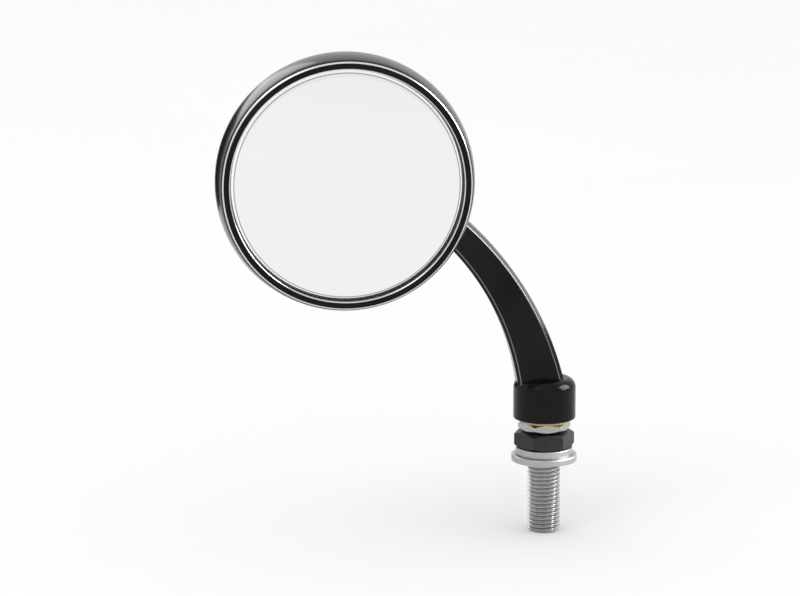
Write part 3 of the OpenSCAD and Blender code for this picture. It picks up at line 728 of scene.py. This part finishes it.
@dataclass
class Head:
    """Shell, lip ring and glass, all turned about the head's axis.

    Places along the axis are depths behind the front of the lip. The shell's side, shoulder and
    dome are three arcs that touch each other.
    """

    axis: Axis = Axis((-63.0, -35.4704, 92.0), BACK, RIGHT)
    head_r: float = 38.0
    side_flare: float = 1.6
    rim_depth: float = 9.8
    shoulder_r: float = 8.0
    dome_r: float = 80.0
    wall: float = 2.2
    lip_w: float = 2.3
    lip_t: float = 1.3
    lip_round: float = 0.6
    glass_recess: float = 1.9
    glass_cover: float = 0.75
    glass_t: float = 2.0
    glass_curve_r: float = 1000.0
    ground_w: float = 1.2
    ground_depth: float = 0.3
    glass_break: float = 0.15
    seat_gap: float = 0.1
    skirt_t: float = 0.6
    skirt_z: float = 6.4
    bore_gap: float = 0.03
    ledge_r: float = 33.65
    ledge_z: float = 7.0
    ball_z: float = 16.9704
    socket_r: float = 9.36
    hub_r: float = 11.56
    hub_rise: float = 0.4
    hub_lip: float = 1.6
    hub_draft: float = 0.1
    mouth_cone: float = 0.45
    mouth_step: float = 0.49
    split_back: float = 0.8
    boss_overlap: float = 0.4
    break_edge: float = 0.25
    opening_r: float = 7.52
    boss_z: float = 17.7704
    rib_t: float = 1.6
    rib_sink: float = 0.5
    post_sink: float = 0.8
    clamp_post: tuple[float, float] = (15.56, 3.7)
    backing_post: tuple[float, float] = (25.06, 2.75)
    clamp_angles: tuple[float, ...] = (90.0, 210.0, 330.0)
    backing_angles: tuple[float, ...] = (30.0, 150.0, 270.0)
    segments: int = 240

    @property
    def front_r(self) -> float:
        """Radius of the shell's front edge."""
        return self.head_r - self.side_flare

    @property
    def view_r(self) -> float:
        """Radius of the opening inside the lip."""
        return self.front_r - self.lip_w

    @property
    def glass_r(self) -> float:
        """Radius of the glass."""
        return self.view_r + self.glass_cover

    @property
    def bore_r(self) -> float:
        """Radius of the shell's bore, which the ring's skirt fits."""
        return self.glass_r + self.seat_gap + self.skirt_t + self.bore_gap

    def outer_arcs(self, inset: float) -> tuple[np.ndarray, np.ndarray, np.ndarray]:
        """Side, shoulder and dome of the shell, drawn in by an inset.

        The side's radius is (depth^2 + flare^2) / (2 flare). The dome's centre lies where the
        shoulder's circle touches it from inside.

        Args:
            inset: distance inward from the outer surface, mm.

        Returns:
            The three arcs, from the front to the hub.
        """
        side_r = (self.rim_depth**2 + self.side_flare**2) / (2 * self.side_flare)
        side_start = math.degrees(math.asin((self.lip_t - self.rim_depth) / side_r))
        side = arc((self.head_r - side_r, self.rim_depth), side_r - inset, side_start, 0, 14)
        shoulder_x = self.head_r - self.shoulder_r
        dome_z = self.rim_depth - math.sqrt((self.dome_r - self.shoulder_r) ** 2 - shoulder_x**2)
        turn = math.degrees(math.atan2(self.rim_depth - dome_z, shoulder_x))
        shoulder = arc((shoulder_x, self.rim_depth), self.shoulder_r - inset, 0, turn, 18)
        hub_turn = math.degrees(math.acos(self.hub_r / (self.dome_r - inset)))
        dome = arc((0, dome_z), self.dome_r - inset, turn, hub_turn, 28)
        return side, shoulder, dome

    @property
    def hub_z(self) -> float:
        """Depth of the hub's back face."""
        shoulder_x = self.head_r - self.shoulder_r
        drop = math.sqrt((self.dome_r - self.shoulder_r) ** 2 - shoulder_x**2)
        return self.rim_depth - drop + self.dome_r + self.hub_rise

    def shell(self) -> Skin:
        """Shell casting: outer arcs, hub, ball opening, socket and the hollow behind the ledge.

        Returns:
            One skin of the turned casting with its posts and ribs.
        """
        side, shoulder, dome = self.outer_arcs(0)
        _, inner_shoulder, inner_dome = self.outer_arcs(self.wall)
        hub_corner = rounded(
            [
                (dome[-1, 0], dome[-1, 1], 0), (self.hub_r - self.hub_draft, self.hub_z, 0.3),
                (self.opening_r, self.hub_z, 0.4),
                (self.opening_r - self.mouth_cone, self.hub_z - self.hub_lip, 0),
            ],
            closed=False,
        )[1:]
        socket_top = math.degrees(math.acos((self.opening_r - self.mouth_step) / self.socket_r))
        socket_front = math.degrees(math.asin(self.split_back / self.socket_r))
        socket = arc((0, self.ball_z), self.socket_r, socket_top, socket_front, 16)
        boss = np.array([[self.hub_r, self.boss_z], [self.hub_r, inner_dome[-1, 1] - self.boss_overlap]])
        inner_shoulder = inner_shoulder[inner_shoulder[:, 0] < self.ledge_r]
        ledge = np.array([
            [self.ledge_r, inner_shoulder[0, 1]], [self.ledge_r, self.ledge_z], [self.bore_r, self.ledge_z],
            [self.bore_r, self.lip_t],
        ])
        edge = self.break_edge
        front_edge = arc((side[0, 0] - edge, self.lip_t + edge), edge, -90, -10, 5)
        profile = np.concatenate([
            front_edge, side[side[:, 1] > self.lip_t + edge], shoulder[1:], dome[1:], hub_corner,
            socket[1:], boss, inner_dome[::-1], inner_shoulder[::-1], ledge,
        ])
        castings = [turned(profile, self.axis, closed=True, segments=self.segments)]
        inner_top = self.hub_z - self.hub_rise - self.wall
        for angles, (reach, radius), low in (
            (self.clamp_angles, self.clamp_post, self.boss_z),
            (self.backing_angles, self.backing_post, self.ledge_z),
        ):
            high = inner_top - reach**2 / (2 * self.dome_r)
            rib_low = (self.hub_r - self.rib_sink, -self.rib_t / 2, self.boss_z)
            rib_high = (reach, self.rib_t / 2, self.dome_under(reach))
            for angle in angles:
                castings.append(self.post(angle, reach, radius, low, high))
                castings.append(box_skin(rib_low, rib_high, self.axis, angle))
        return castings[0].joined(*castings[1:])

    def dome_under(self, reach: float) -> float:
        """Depth of the dome's inner face at a distance from the axis, less a little so ribs stay inside."""
        drop = self.dome_r - math.sqrt(self.dome_r**2 - reach**2)
        return self.hub_z - self.hub_rise - self.wall / 2 - drop

    def post(self, angle: float, reach: float, radius: float, low: float, high: float) -> Skin:
        """Screw post inside the shell.

        Args:
            angle: angle about the head's axis, degrees.
            reach: distance of the post from the axis, mm.
            radius: radius of the post, mm.
            low: depth of its front face, mm.
            high: depth of its back face inside the dome's wall, mm.

        Returns:
            The skin.
        """
        centre = self.axis.carry(np.array(reach), np.array(0.0), np.array(math.radians(angle)))
        own = Axis(tuple(centre.tolist()), self.axis.along, self.axis.start)
        back = high + self.post_sink
        profile = rounded([(0, low, 0), (radius, low, 0.3), (radius, back, 0.2), (0, back, 0)], closed=False)
        return turned(profile, own, closed=False, segments=40)

    def lip(self) -> Skin:
        """Lip ring: rounded outer edge, broken inner edge, seat for the glass and a thin skirt.

        Returns:
            The skin.
        """
        skirt_in = self.glass_r + self.seat_gap
        skirt_out = skirt_in + self.skirt_t
        profile = rounded(
            [
                (self.view_r, 0, 0.28), (self.front_r, 0, self.lip_round), (self.front_r, self.lip_t, 0.1),
                (skirt_out, self.lip_t, 0), (skirt_out, self.skirt_z, 0.15), (skirt_in, self.skirt_z, 0.15),
                (skirt_in, self.glass_recess, 0), (self.view_r, self.glass_recess, 0.12),
            ],
            closed=True, steps=6,
        )
        return turned(profile, self.axis, closed=True, segments=self.segments)

    def glass_front(self, radius: np.ndarray) -> np.ndarray:
        """Depth of the glass's front face: apex + R - sqrt(R^2 - r^2), less the ground edge's fall.

        Args:
            radius: distances from the head's axis, mm.

        Returns:
            Depths behind the lip, mm.
        """
        curve = self.glass_curve_r
        apex = self.glass_recess + self.seat_gap - (curve - math.sqrt(curve**2 - self.glass_r**2))
        return apex + curve - np.sqrt(curve**2 - radius**2)

    def glass(self) -> Skin:
        """Convex glass: front face, flat ground edge, rim and back face.

        Returns:
            The skin.
        """
        ground_r = self.view_r - self.ground_w
        face = np.linspace(0, ground_r, 26)
        back = np.linspace(self.glass_r - self.glass_break, 0, 20)
        rim_front = self.glass_recess + self.seat_gap + self.ground_depth
        rim_back = self.glass_front(np.array(self.glass_r)) + self.glass_t - self.glass_break
        profile = np.concatenate([
            np.stack([face, self.glass_front(face)], -1),
            [[self.glass_r - 0.1, rim_front - 0.02], [self.glass_r, rim_front + 0.08]],
            [[self.glass_r, rim_back]],
            np.stack([back, self.glass_front(back) + self.glass_t], -1),
        ])
        return turned(profile, self.axis, closed=False, segments=self.segments)

    def finish_of_glass(self) -> SilveredGlass:
        """Returns the glass's finish, with the ground edge where the mesh has it."""
        return SilveredGlass("glass_mirror", self.axis.origin, self.view_r - self.ground_w, self.glass_r)

    def lip_edge_highlights(self) -> tuple[Band, ...]:
        """Returns painted highlights on the lip's edges as bright metal bands: its rounded outer edge, which
        is also polished, and its broken inner one.
        """
        # Both bands paint edge highlights in bright metal; the outer one is also the polished edge.
        outer = Band(self.axis.origin, (self.front_r - 0.42, self.front_r + 0.1), (-0.1, self.lip_round))
        inner = Band(self.axis.origin, (self.view_r - 0.1, self.view_r + 0.26), (-0.1, 0.3))
        return outer, inner

    def build(self, paints: Paints) -> list[bpy.types.Object]:
        """Builds and settles the shell, the lip ring and the glass.

        Args:
            paints: the mirror's finishes.

        Returns:
            The three pieces.
        """
        pieces = (
            ("shell_casting", self.shell(), Place("head", ("head_shell",), "shell_black")),
            ("lip_ring", self.lip(), Place("head", ("bezel_ring",), "lip_black")),
            ("convex_glass", self.glass(), Place("head", ("mirror_glass",), "glass_mirror")),
        )
        return [settle(skin.as_object(name), place, paints) for name, skin, place in pieces]


# The arm


@dataclass
class Arm:
    """One-piece casting: a bevelled blade along an arc, a round eye at its top and a foot below.

    The arc's centre is level with the foot. At an angle f from the centre's level the blade's half
    width is base + shift_x cos f + shift_z sin f, so both of its edges are true arcs.
    """

    eye_out: float = 63.0
    eye_up: float = 92.0
    upright_z: float = 8.0
    arc_start: float = 5.49
    base_w: float = 9.9005
    shift: tuple[float, float] = (-1.9005, -5.3830)
    blade_t: float = 9.0
    bevel: float = 1.1
    bevel_round: float = 0.3
    eye_r: float = 8.5
    eye_t: float = 11.0
    eye_round: float = 0.9
    spigot_r: float = 4.03
    spigot_depth: float = 2.1
    screw_hole_r: float = 2.75
    counterbore_r: float = 4.6
    counterbore_y: float = -0.8
    foot_r: float = 9.5
    foot_z: float = 13.23
    foot_top_z: float = 25.78
    foot_round: float = 3.0
    bush_r: float = 5.26
    bush_len: float = 5.0
    bore_r: float = 4.25
    bore_top_z: float = 23.98
    grub_r: float = 2.03
    grub_z: float = 20.93
    steps: int = 150

    @property
    def arc_r(self) -> float:
        """Radius of the arm's middle line, which is upright at upright_z and passes through the eye."""
        rise = self.eye_up - self.upright_z
        return (self.eye_out**2 + rise**2) / (2 * self.eye_out)

    def blade(self) -> Skin:
        """Blade: a bevelled section carried along the arc.

        A point of the section sits at centre + (R + side * half_width(f) + inset) * n(f) in the
        plane of the arc, and at its own depth across it. side is -1 for the inner edge and 1 for
        the outer one, inset is the bevel's, and n is the direction from the arc's centre.

        Returns:
            The skin, closed at both ends.
        """
        half_t, cut = self.blade_t / 2, self.bevel
        nominal = 6.0
        outline = rounded(
            [
                (nominal - cut, -half_t, self.bevel_round), (nominal, cut - half_t, self.bevel_round),
                (nominal, half_t - cut, self.bevel_round), (nominal - cut, half_t, self.bevel_round),
                (cut - nominal, half_t, self.bevel_round), (-nominal, half_t - cut, self.bevel_round),
                (-nominal, cut - half_t, self.bevel_round), (cut - nominal, -half_t, self.bevel_round),
            ],
            closed=True, steps=4,
        )
        side = np.sign(outline[:, 0])
        inset = outline[:, 0] - side * nominal
        rise = self.eye_up - self.upright_z
        last = math.degrees(math.atan2(rise, self.arc_r - self.eye_out))
        turn = np.radians(np.linspace(self.arc_start, last, self.steps))[:, None]
        half_width = self.base_w + self.shift[0] * np.cos(turn) + self.shift[1] * np.sin(turn)
        reach = self.arc_r + side * half_width + inset
        depth = np.repeat(outline[None, :, 1], self.steps, axis=0)
        across, up = reach * np.cos(turn) - self.arc_r, reach * np.sin(turn) + self.upright_z
        points = np.stack([across, depth, up], -1)
        return Skin.from_grid(points, False, True, caps=True)

    def blade_edge_highlights(self) -> tuple[Band, ...]:
        """Returns painted highlight lines where each face of the blade meets its bevels.

        The outer line is a circle about centre + shift with radius R + base - bevel, and the inner
        one a circle about centre - shift with radius R - base + bevel.

        Returns:
            The four lines.
        """
        # Thin bands of bright metal that paint the highlights of the bevel edges.
        face = self.blade_t / 2
        half_line, outside, inside = 0.16, 0.1, 0.3
        sides = ((1, self.arc_r + self.base_w - self.bevel), (-1, self.arc_r - self.base_w + self.bevel))
        lines = []
        for side, radius in sides:
            centre = (side * self.shift[0] - self.arc_r, 0.0, side * self.shift[1] + self.upright_z)
            for depth in ((-face - outside, inside - face), (face - inside, face + outside)):
                lines.append(Band(centre, (radius - half_line, radius + half_line), depth))
        return tuple(lines)

    @property
    def eye_axis(self) -> Axis:
        """Axis of the eye, which runs to the back."""
        return Axis((-self.eye_out, 0.0, self.eye_up), BACK, RIGHT)

    @property
    def upright_axis(self) -> Axis:
        """Axis of the stud and the foot."""
        return Axis((0.0, 0.0, 0.0), UP, RIGHT)

    def eye(self) -> Skin:
        """Round eye, with both rims rounded.

        Returns:
            The skin.
        """
        half = self.eye_t / 2
        profile = rounded(
            [
                (0, -half, 0), (self.eye_r, -half, self.eye_round),
                (self.eye_r, half, self.eye_round), (0, half, 0),
            ],
            closed=False, steps=6,
        )
        return turned(profile, self.eye_axis, closed=False, segments=144)

    def foot(self) -> Skin:
        """Round foot, with a well rounded top.

        Returns:
            The skin.
        """
        profile = rounded(
            [
                (0, self.foot_z, 0), (self.foot_r, self.foot_z, 0.4),
                (self.foot_r, self.foot_top_z, self.foot_round), (0, self.foot_top_z, 0),
            ],
            closed=False, steps=9,
        )
        return turned(profile, self.upright_axis, closed=False, segments=160)

    def cuts(self) -> list[Skin]:
        """Holes in the eye and the foot, as solids to cut away.

        Returns:
            The three solids.
        """
        back, front = self.eye_t, -self.eye_t
        spigot_end = self.spigot_depth - self.eye_t / 2
        rim = self.eye_t / 2
        mouth_r, mouth_depth, past = self.counterbore_r + 0.5, 0.4, 0.1
        eye_hole = np.array([
            [0, front], [self.spigot_r, front], [self.spigot_r, spigot_end], [self.screw_hole_r, spigot_end],
            [self.screw_hole_r, self.counterbore_y], [self.counterbore_r, self.counterbore_y],
            [self.counterbore_r, rim - mouth_depth], [mouth_r, rim + past], [mouth_r, back], [0, back],
        ])
        below = self.foot_z - 1
        foot_hole = np.array([
            [0, below], [self.bush_r, below], [self.bush_r, self.foot_z + self.bush_len],
            [self.bore_r, self.foot_z + self.bush_len], [self.bore_r, self.bore_top_z], [0, self.bore_top_z],
        ])
        grub_axis = Axis((0.0, 0.0, self.grub_z), BACK, RIGHT)
        grub_hole = np.array([[0, 1], [self.grub_r, 1], [self.grub_r, self.foot_r + 1], [0, self.foot_r + 1]])
        return [
            turned(eye_hole, self.eye_axis, closed=False, segments=96),
            turned(foot_hole, self.upright_axis, closed=False, segments=96),
            turned(grub_hole, grub_axis, closed=False, segments=48),
        ]

    def build(self, paints: Paints) -> list[bpy.types.Object]:
        """Joins the blade, eye and foot into one casting, cuts its holes and settles it.

        Args:
            paints: the mirror's finishes.

        Returns:
            The arm.
        """
        casting = self.blade().as_object("arched_arm")
        carve(casting, self.eye().as_object("eye_tool"), Carve.ADD)
        carve(casting, self.foot().as_object("foot_tool"), Carve.ADD)
        for number, hole in enumerate(self.cuts()):
            carve(casting, hole.as_object(f"hole_tool_{number}"), Carve.CUT)
        shade(casting)
        return [settle(casting, Place("arm", ("mirror_arm",), "arm_black"), paints)]


@dataclass
class BallStud:
    """Turned ball, neck, collar and spigot in front of the eye."""

    ball_r: float = 7.5
    ball_ahead: float = 18.5
    neck_r: float = 3.75
    collar_r: float = 6.5
    collar_t: float = 1.2
    spigot_r: float = 4.0
    spigot_len: float = 2.0
    thread_r: float = 2.53
    thread_end: float = -15.7
    eye_front: float = -5.5

    def section(self) -> np.ndarray:
        """Half section: a ball's arc, a neck with a fillet, the collar, the spigot and the tapped hole.

        Returns:
            (radius, place along the axis) rows, mm.
        """
        meet = math.degrees(math.acos(self.neck_r / self.ball_r))
        ball = arc((0, -self.ball_ahead), self.ball_r, -90, meet, 40)
        collar_front = self.eye_front - self.collar_t
        spigot_end = self.eye_front + self.spigot_len
        rest = rounded(
            [
                (self.neck_r, ball[-1, 1] + 0.3, 0), (self.neck_r, collar_front, 0.8),
                (self.collar_r, collar_front, 0.35), (self.collar_r, self.eye_front, 0.1),
                (self.spigot_r, self.eye_front, 0), (self.spigot_r, spigot_end, 0.3),
                (self.thread_r, spigot_end, 0.2), (self.thread_r, self.thread_end, 0),
                (0, self.thread_end, 0),
            ],
            closed=False,
        )
        return np.concatenate([ball, rest])

    def build(self, axis: Axis, paints: Paints) -> list[bpy.types.Object]:
        """Builds and settles the ball stud.

        Args:
            axis: the eye's axis.
            paints: the mirror's finishes.

        Returns:
            The ball stud.
        """
        piece = turned(self.section(), axis, closed=False, segments=120).as_object("turned_ball_stud")
        return [settle(piece, Place("arm", ("ball_stud",), "ball_steel"), paints)]


# The stud and what it carries


def hexagon_radius(angle: np.ndarray, flats: float) -> np.ndarray:
    """Distance from the middle to a hexagon's side, with a corner at angle 0.

    (flats / 2) / cos(angle from the middle of the side).

    Args:
        angle: angles, radians.
        flats: width across the flats, mm.

    Returns:
        Distances, mm.
    """
    from_side = np.mod(angle, math.pi / 3) - math.pi / 6
    return flats / 2 / np.cos(from_side)


def hexagon_skin(flats: float, low: float, high: float, bore_r: float, axis: Axis) -> Skin:
    """Bored hexagon with both ends turned to 30 degree chamfers.

    Each row is a circle's radius, cut back to the hexagon where the hexagon is nearer.

    Args:
        flats: width across the flats, mm.
        low: place of the lower face, mm.
        high: place of the upper face, mm.
        bore_r: radius of the bore, mm.
        axis: the axis to turn about.

    Returns:
        The skin.
    """
    corner = flats / 2 / math.cos(math.pi / 6)
    limit = np.linspace(flats / 2 - 0.15, corner + 0.05, 8)
    fall = (limit - limit[0]) * math.tan(math.pi / 6)
    bore_edge = 0.5
    rows = np.concatenate([
        [[bore_r, low + bore_edge], [bore_r + bore_edge, low]],
        np.stack([limit, low + fall], -1),
        np.stack([limit, high - fall], -1)[::-1],
        [[bore_r + bore_edge, high], [bore_r, high - bore_edge]],
    ])
    angle = np.linspace(0, 2 * math.pi, 120, endpoint=False)
    radius, angle_grid = np.meshgrid(rows[:, 0], angle, indexing="ij")
    radius = np.minimum(radius, hexagon_radius(angle_grid, flats))
    along = np.repeat(rows[:, 1:2], len(angle), axis=1)
    return Skin.from_grid(axis.carry(radius, along, angle_grid), True, True)


@dataclass
class StudStack:
    """Threaded stud with its hexagon collar and grooved spigot, the jam nut and the two washers."""

    axis: Axis = Axis((0.0, 0.0, 0.0), UP, RIGHT)
    stud_r: float = 5.0
    pitch: float = 1.25
    thread_low: float = -22.0
    thread_high: float = 9.9
    end_chamfer: float = 1.0
    key_flats: float = 5.0
    key_depth: float = 5.0
    collar_z: float = 9.7
    collar_t: float = 2.5
    collar_af: float = 14.0
    spigot_r: float = 4.0
    spigot_top: float = 23.63
    groove_r: float = 3.2
    groove: tuple[float, float] = (18.73, 23.13)
    nut_z: float = 4.2
    nut_t: float = 5.0
    nut_af: float = 16.0
    washer_t: float = 2.0
    washer_r: float = 10.0
    washer_bore_r: float = 5.25
    spring_z: float = 2.0
    spring_t: float = 2.2
    spring_in: float = 5.1
    spring_out: float = 8.7
    spring_lean: float = 35.0
    rows_per_pitch: int = 14
    depth_share: float = 0.6134
    root_flat: float = 0.25
    flank_share: float = 0.625
    key_chamfer: float = 0.25

    def thread(self) -> Skin:
        """Screw thread: the radius follows the phase of the helix.

        The phase is (along - pitch * turns) / pitch. A triangle wave of it, cut flat at crest and
        root, takes the radius from root to crest. The lower end is held under a chamfer and has the
        hexagon hole for a key.

        Returns:
            The skin.
        """
        depth = self.depth_share * self.pitch
        count = int((self.thread_high - self.thread_low) / self.pitch * self.rows_per_pitch)
        along = np.linspace(self.thread_low, self.thread_high, count)
        angle = np.linspace(0, 2 * math.pi, 96, endpoint=False)
        along_grid, angle_grid = np.meshgrid(along, angle, indexing="ij")
        phase = np.mod(along_grid / self.pitch - angle_grid / (2 * math.pi), 1)
        wave = 1 - np.abs(2 * phase - 1)
        radius = self.stud_r - depth + depth * np.clip((wave - self.root_flat) / self.flank_share, 0, 1)
        chamfer = self.stud_r - self.end_chamfer + np.abs(along_grid - self.thread_low)
        radius = np.minimum(radius, chamfer)
        key_r = hexagon_radius(angle, self.key_flats)
        key_low = np.full(len(angle), self.thread_low)
        floor = np.full(len(angle), self.thread_low + self.key_depth)
        zero = np.zeros(len(angle))
        radius = np.concatenate([[zero], [key_r], [key_r], [key_r + self.key_chamfer], radius, [zero]])
        heights = [floor, floor, key_low + self.key_chamfer, key_low]
        along_grid = np.concatenate([heights, along_grid, [np.full(len(angle), self.thread_high)]])
        angle_grid = np.repeat(angle[None], len(radius), axis=0)
        return Skin.from_grid(self.axis.carry(radius, along_grid, angle_grid), False, True)

    def spigot(self) -> Skin:
        """Grooved spigot that the arm's foot turns on.

        Returns:
            The skin.
        """
        low = self.collar_z + self.collar_t - 0.5
        profile = rounded(
            [
                (0, low, 0), (self.spigot_r, low, 0), (self.spigot_r, self.groove[0], 0.2),
                (self.groove_r, self.groove[0], 0.3), (self.groove_r, self.groove[1], 0.2),
                (self.spigot_r, self.groove[1], 0.15), (self.spigot_r, self.spigot_top, 0.2),
                (0, self.spigot_top, 0),
            ],
            closed=False,
        )
        return turned(profile, self.axis, closed=False, segments=96)

    def plain_washer(self) -> Skin:
        """Punched washer: one edge drawn round by the punch, the other sharper.

        Returns:
            The skin.
        """
        profile = rounded(
            [(self.washer_bore_r, 0, 0.15), (self.washer_r, 0, 0.15), (self.washer_r, self.washer_t, 0.45),
             (self.washer_bore_r, self.washer_t, 0.35)],
            closed=True,
        )
        return turned(profile, self.axis, closed=True, segments=144)

    def spring_washer(self) -> Skin:
        """Split washer: a rounded section carried round, its two ends leaning as the cut does.

        The angle of a point is the even share of the open turn plus the lean, which is the height
        above the middle times tan(lean) over the radius.

        Returns:
            The skin, closed at both ends.
        """
        top = self.spring_z + self.spring_t
        section = rounded(
            [(self.spring_in, self.spring_z, 0.2), (self.spring_out, self.spring_z, 0.2),
             (self.spring_out, top, 0.2), (self.spring_in, top, 0.2)],
            closed=True,
        )
        middle_r = (self.spring_in + self.spring_out) / 2
        half_gap = self.spring_t / 3 / math.cos(math.radians(self.spring_lean)) / 2 / middle_r
        slope = math.tan(math.radians(self.spring_lean))
        lean = -(section[:, 1] - self.spring_z - self.spring_t / 2) * slope / middle_r
        sweep = np.linspace(half_gap, 2 * math.pi - half_gap, 110)
        angle = sweep[:, None] + lean[None]
        radius = np.repeat(section[None, :, 0], len(sweep), axis=0)
        along = np.repeat(section[None, :, 1], len(sweep), axis=0)
        return Skin.from_grid(self.axis.carry(radius, along, angle), False, True, caps=True)

    def build(self, paints: Paints) -> list[bpy.types.Object]:
        """Builds and settles the stud, the nut and the washers.

        Args:
            paints: the mirror's finishes.

        Returns:
            The four pieces.
        """
        collar = hexagon_skin(
            self.collar_af, self.collar_z, self.collar_z + self.collar_t, self.groove_r, self.axis
        )
        stud = self.thread().joined(collar, self.spigot())
        nut = hexagon_skin(self.nut_af, self.nut_z, self.nut_z + self.nut_t, self.stud_r - 0.3, self.axis)
        pieces = (
            ("threaded_stud", stud, Place("mount", ("mounting_stud",), "stud_steel")),
            ("thin_nut", nut, Place("mount", ("jam_nut",), "black_steel")),
            ("plain_washer", self.plain_washer(), Place("mount", ("seat_washer",), "washer_steel")),
            ("spring_washer", self.spring_washer(), Place("mount", ("lock_washer",), "washer_steel")),
        )
        return [settle(skin.as_object(name), place, paints) for name, skin, place in pieces]


@dataclass
class InnerPieces:
    """CAD pieces whose own shape is kept, dressed by their slots in the record."""

    subparts: list[dict] = field(default_factory=list)

    def dress(
        self, nodes: dict[str, bpy.types.Object], paints: Paints, shown_elsewhere: set[str]
    ) -> list[str]:
        """Gives each kept CAD node the material of its slot.

        Args:
            nodes: the frame's nodes by name.
            paints: the mirror's finishes.
            shown_elsewhere: nodes that a new piece stands for.

        Returns:
            Names of the dressed nodes.
        """
        dressed = []
        for part in self.subparts:
            name = part["node"]
            if name in shown_elsewhere or name not in nodes:
                continue
            mesh = nodes[name].data
            mesh.materials.clear()
            mesh.materials.append(paints[part["material_slot"]])
            dressed.append(name)
        return dressed


# The studio


@dataclass
class Studio:
    """Pale floor that sweeps up all round, soft lights, one dark card and the camera.

    Sizes are metres here.
    """

    floor_z: float = -0.0222
    flat_r: float = 2.8
    sweep_r: float = 0.9
    target: tuple[float, float, float] = (-0.0455, -0.0128, 0.0540)
    azimuth: float = -6.0
    elevation: float = 12.0
    distance: float = 1.1
    view_width: float = 0.238
    sensor: float = 36.0
    world: float = 1.06
    exposure: float = 0.0

    def floor(self) -> bpy.types.Object:
        """Floor and backdrop in one bowl: a flat run and a quarter arc, turned about the upright.

        Returns:
            The bowl.
        """
        run = np.array([[0.0, 0.0], [self.flat_r / 2, 0.0]])
        bend = arc((self.flat_r, self.sweep_r), self.sweep_r, -90, 0, 24)
        upright = Axis((0.0, 0.0, self.floor_z / MM), UP, RIGHT)
        bowl = turned(np.concatenate([run, bend]) / MM, upright, closed=False, segments=96).as_object("floor")
        paper = Finish("paper", (0.86, 0.86, 0.86), (0.88, 0.88, 0.88), (0.85, 0.95), specular=0.1,
                       tone_scale=2, wear_scale=4, grain_scale=300, grain_height=0.01)
        bowl.data.materials.append(paper.material())
        return bowl

    def card(
        self, name: str, centre: tuple[float, float, float], size: tuple[float, float], shade_value: float
    ) -> bpy.types.Object:
        """Dark card that the gloss reflects, facing the mirror and unseen by the camera.

        Args:
            name: the card's name.
            centre: its middle, metres.
            size: its width and height, metres.
            shade_value: its grey, 0 to 1.

        Returns:
            The card.
        """
        facing = (Vector(self.target) - Vector(centre)).to_track_quat("Z", "Y").to_matrix()
        half_w, half_h = size[0] / 2, size[1] / 2
        signs = ((-1, -1), (1, -1), (1, 1), (-1, 1))
        corners = [Vector((x * half_w, y * half_h, 0)) for x, y in signs]
        mesh = bpy.data.meshes.new(name)
        mesh.from_pydata([tuple(facing @ corner + Vector(centre)) for corner in corners], [], [(0, 1, 2, 3)])
        card = bpy.data.objects.new(name, mesh)
        bpy.context.scene.collection.objects.link(card)
        grey = (shade_value, shade_value, shade_value)
        mesh.materials.append(Finish(name, grey, grey, (0.9, 1.0), specular=0.0, grain_height=0.0).material())
        card.visible_camera = False
        card.visible_diffuse = False
        card.visible_shadow = False
        return card

    def light(
        self, name: str, centre: tuple[float, float, float], size: float, power: float
    ) -> bpy.types.Object:
        """Square soft light that faces the mirror.

        Args:
            name: the light's name.
            centre: its middle, metres.
            size: its side, metres.
            power: its power, watts.

        Returns:
            The light.
        """
        data = bpy.data.lights.new(name, "AREA")
        data.shape = "SQUARE"
        data.size = size
        data.energy = power
        lamp = bpy.data.objects.new(name, data)
        lamp.location = centre
        lamp.rotation_euler = (Vector(self.target) - Vector(centre)).to_track_quat("-Z", "Y").to_euler()
        bpy.context.scene.collection.objects.link(lamp)
        return lamp

    def camera(self) -> None:
        """Camera at the photograph's angle; the lens is sensor * distance / width of the view."""
        turn, rise = math.radians(self.azimuth), math.radians(self.elevation)
        back = Vector((math.sin(turn) * math.cos(rise), -math.cos(turn) * math.cos(rise), math.sin(rise)))
        data = bpy.data.cameras.new("camera")
        data.sensor_width = self.sensor
        data.lens = self.sensor * self.distance / self.view_width
        camera = bpy.data.objects.new("camera", data)
        camera.location = Vector(self.target) + back * self.distance
        camera.rotation_euler = (-back).to_track_quat("-Z", "Y").to_euler()
        bpy.context.scene.collection.objects.link(camera)
        bpy.context.scene.camera = camera

    def build(self) -> None:
        """Sets up the floor, the lights, the card, the world and the camera."""
        scene = bpy.context.scene
        world = bpy.data.worlds.new("studio")
        world.use_nodes = True
        background = world.node_tree.nodes["Background"]
        background.inputs["Color"].default_value = (1, 1, 1, 1)
        background.inputs["Strength"].default_value = self.world
        scene.world = world
        self.floor()
        self.card("dark_card", (-0.25, 0.345, 0.085), (0.19, 0.21), 0.01)
        key = self.light("key", (-1.3, -1.1, 1.9), 1.1, 9)
        behind = self.light("behind_left", (-0.95, 1.55, 0.95), 1.3, 9)
        strip = self.light("right_strip", (1.3, -0.2, 0.75), 1.0, 46)
        behind.visible_diffuse = strip.visible_diffuse = False
        scene.view_settings.view_transform = "Standard"
        scene.view_settings.exposure = self.exposure
        self.camera()


# Putting it together


def main() -> None:
    """Builds each sub-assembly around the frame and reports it."""
    logging.basicConfig(level=logging.INFO, format="%(message)s")
    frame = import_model()
    head, arm = Head(), Arm()
    paints = Paints(head.finish_of_glass(), head.lip_edge_highlights(), arm.blade_edge_highlights())
    made = {
        "head": head.build(paints),
        "arm": arm.build(paints),
        "ball stud": BallStud().build(arm.eye_axis, paints),
        "stud and washers": StudStack().build(paints),
    }
    replaced = {
        "head_shell", "bezel_ring", "mirror_glass", "mirror_arm", "ball_stud",
        "mounting_stud", "jam_nut", "seat_washer", "lock_washer",
    }
    dressed = InnerPieces(frame["record"]["subparts"]).dress(frame["nodes"], paints, replaced)
    for name, pieces in made.items():
        for piece in pieces:
            LOG.info("%s: %s, %d faces", name, piece.name, len(piece.data.polygons))
    LOG.info("dressed CAD nodes: %s", ", ".join(dressed))
    Studio().build()


if __name__ == "__main__":
    main()
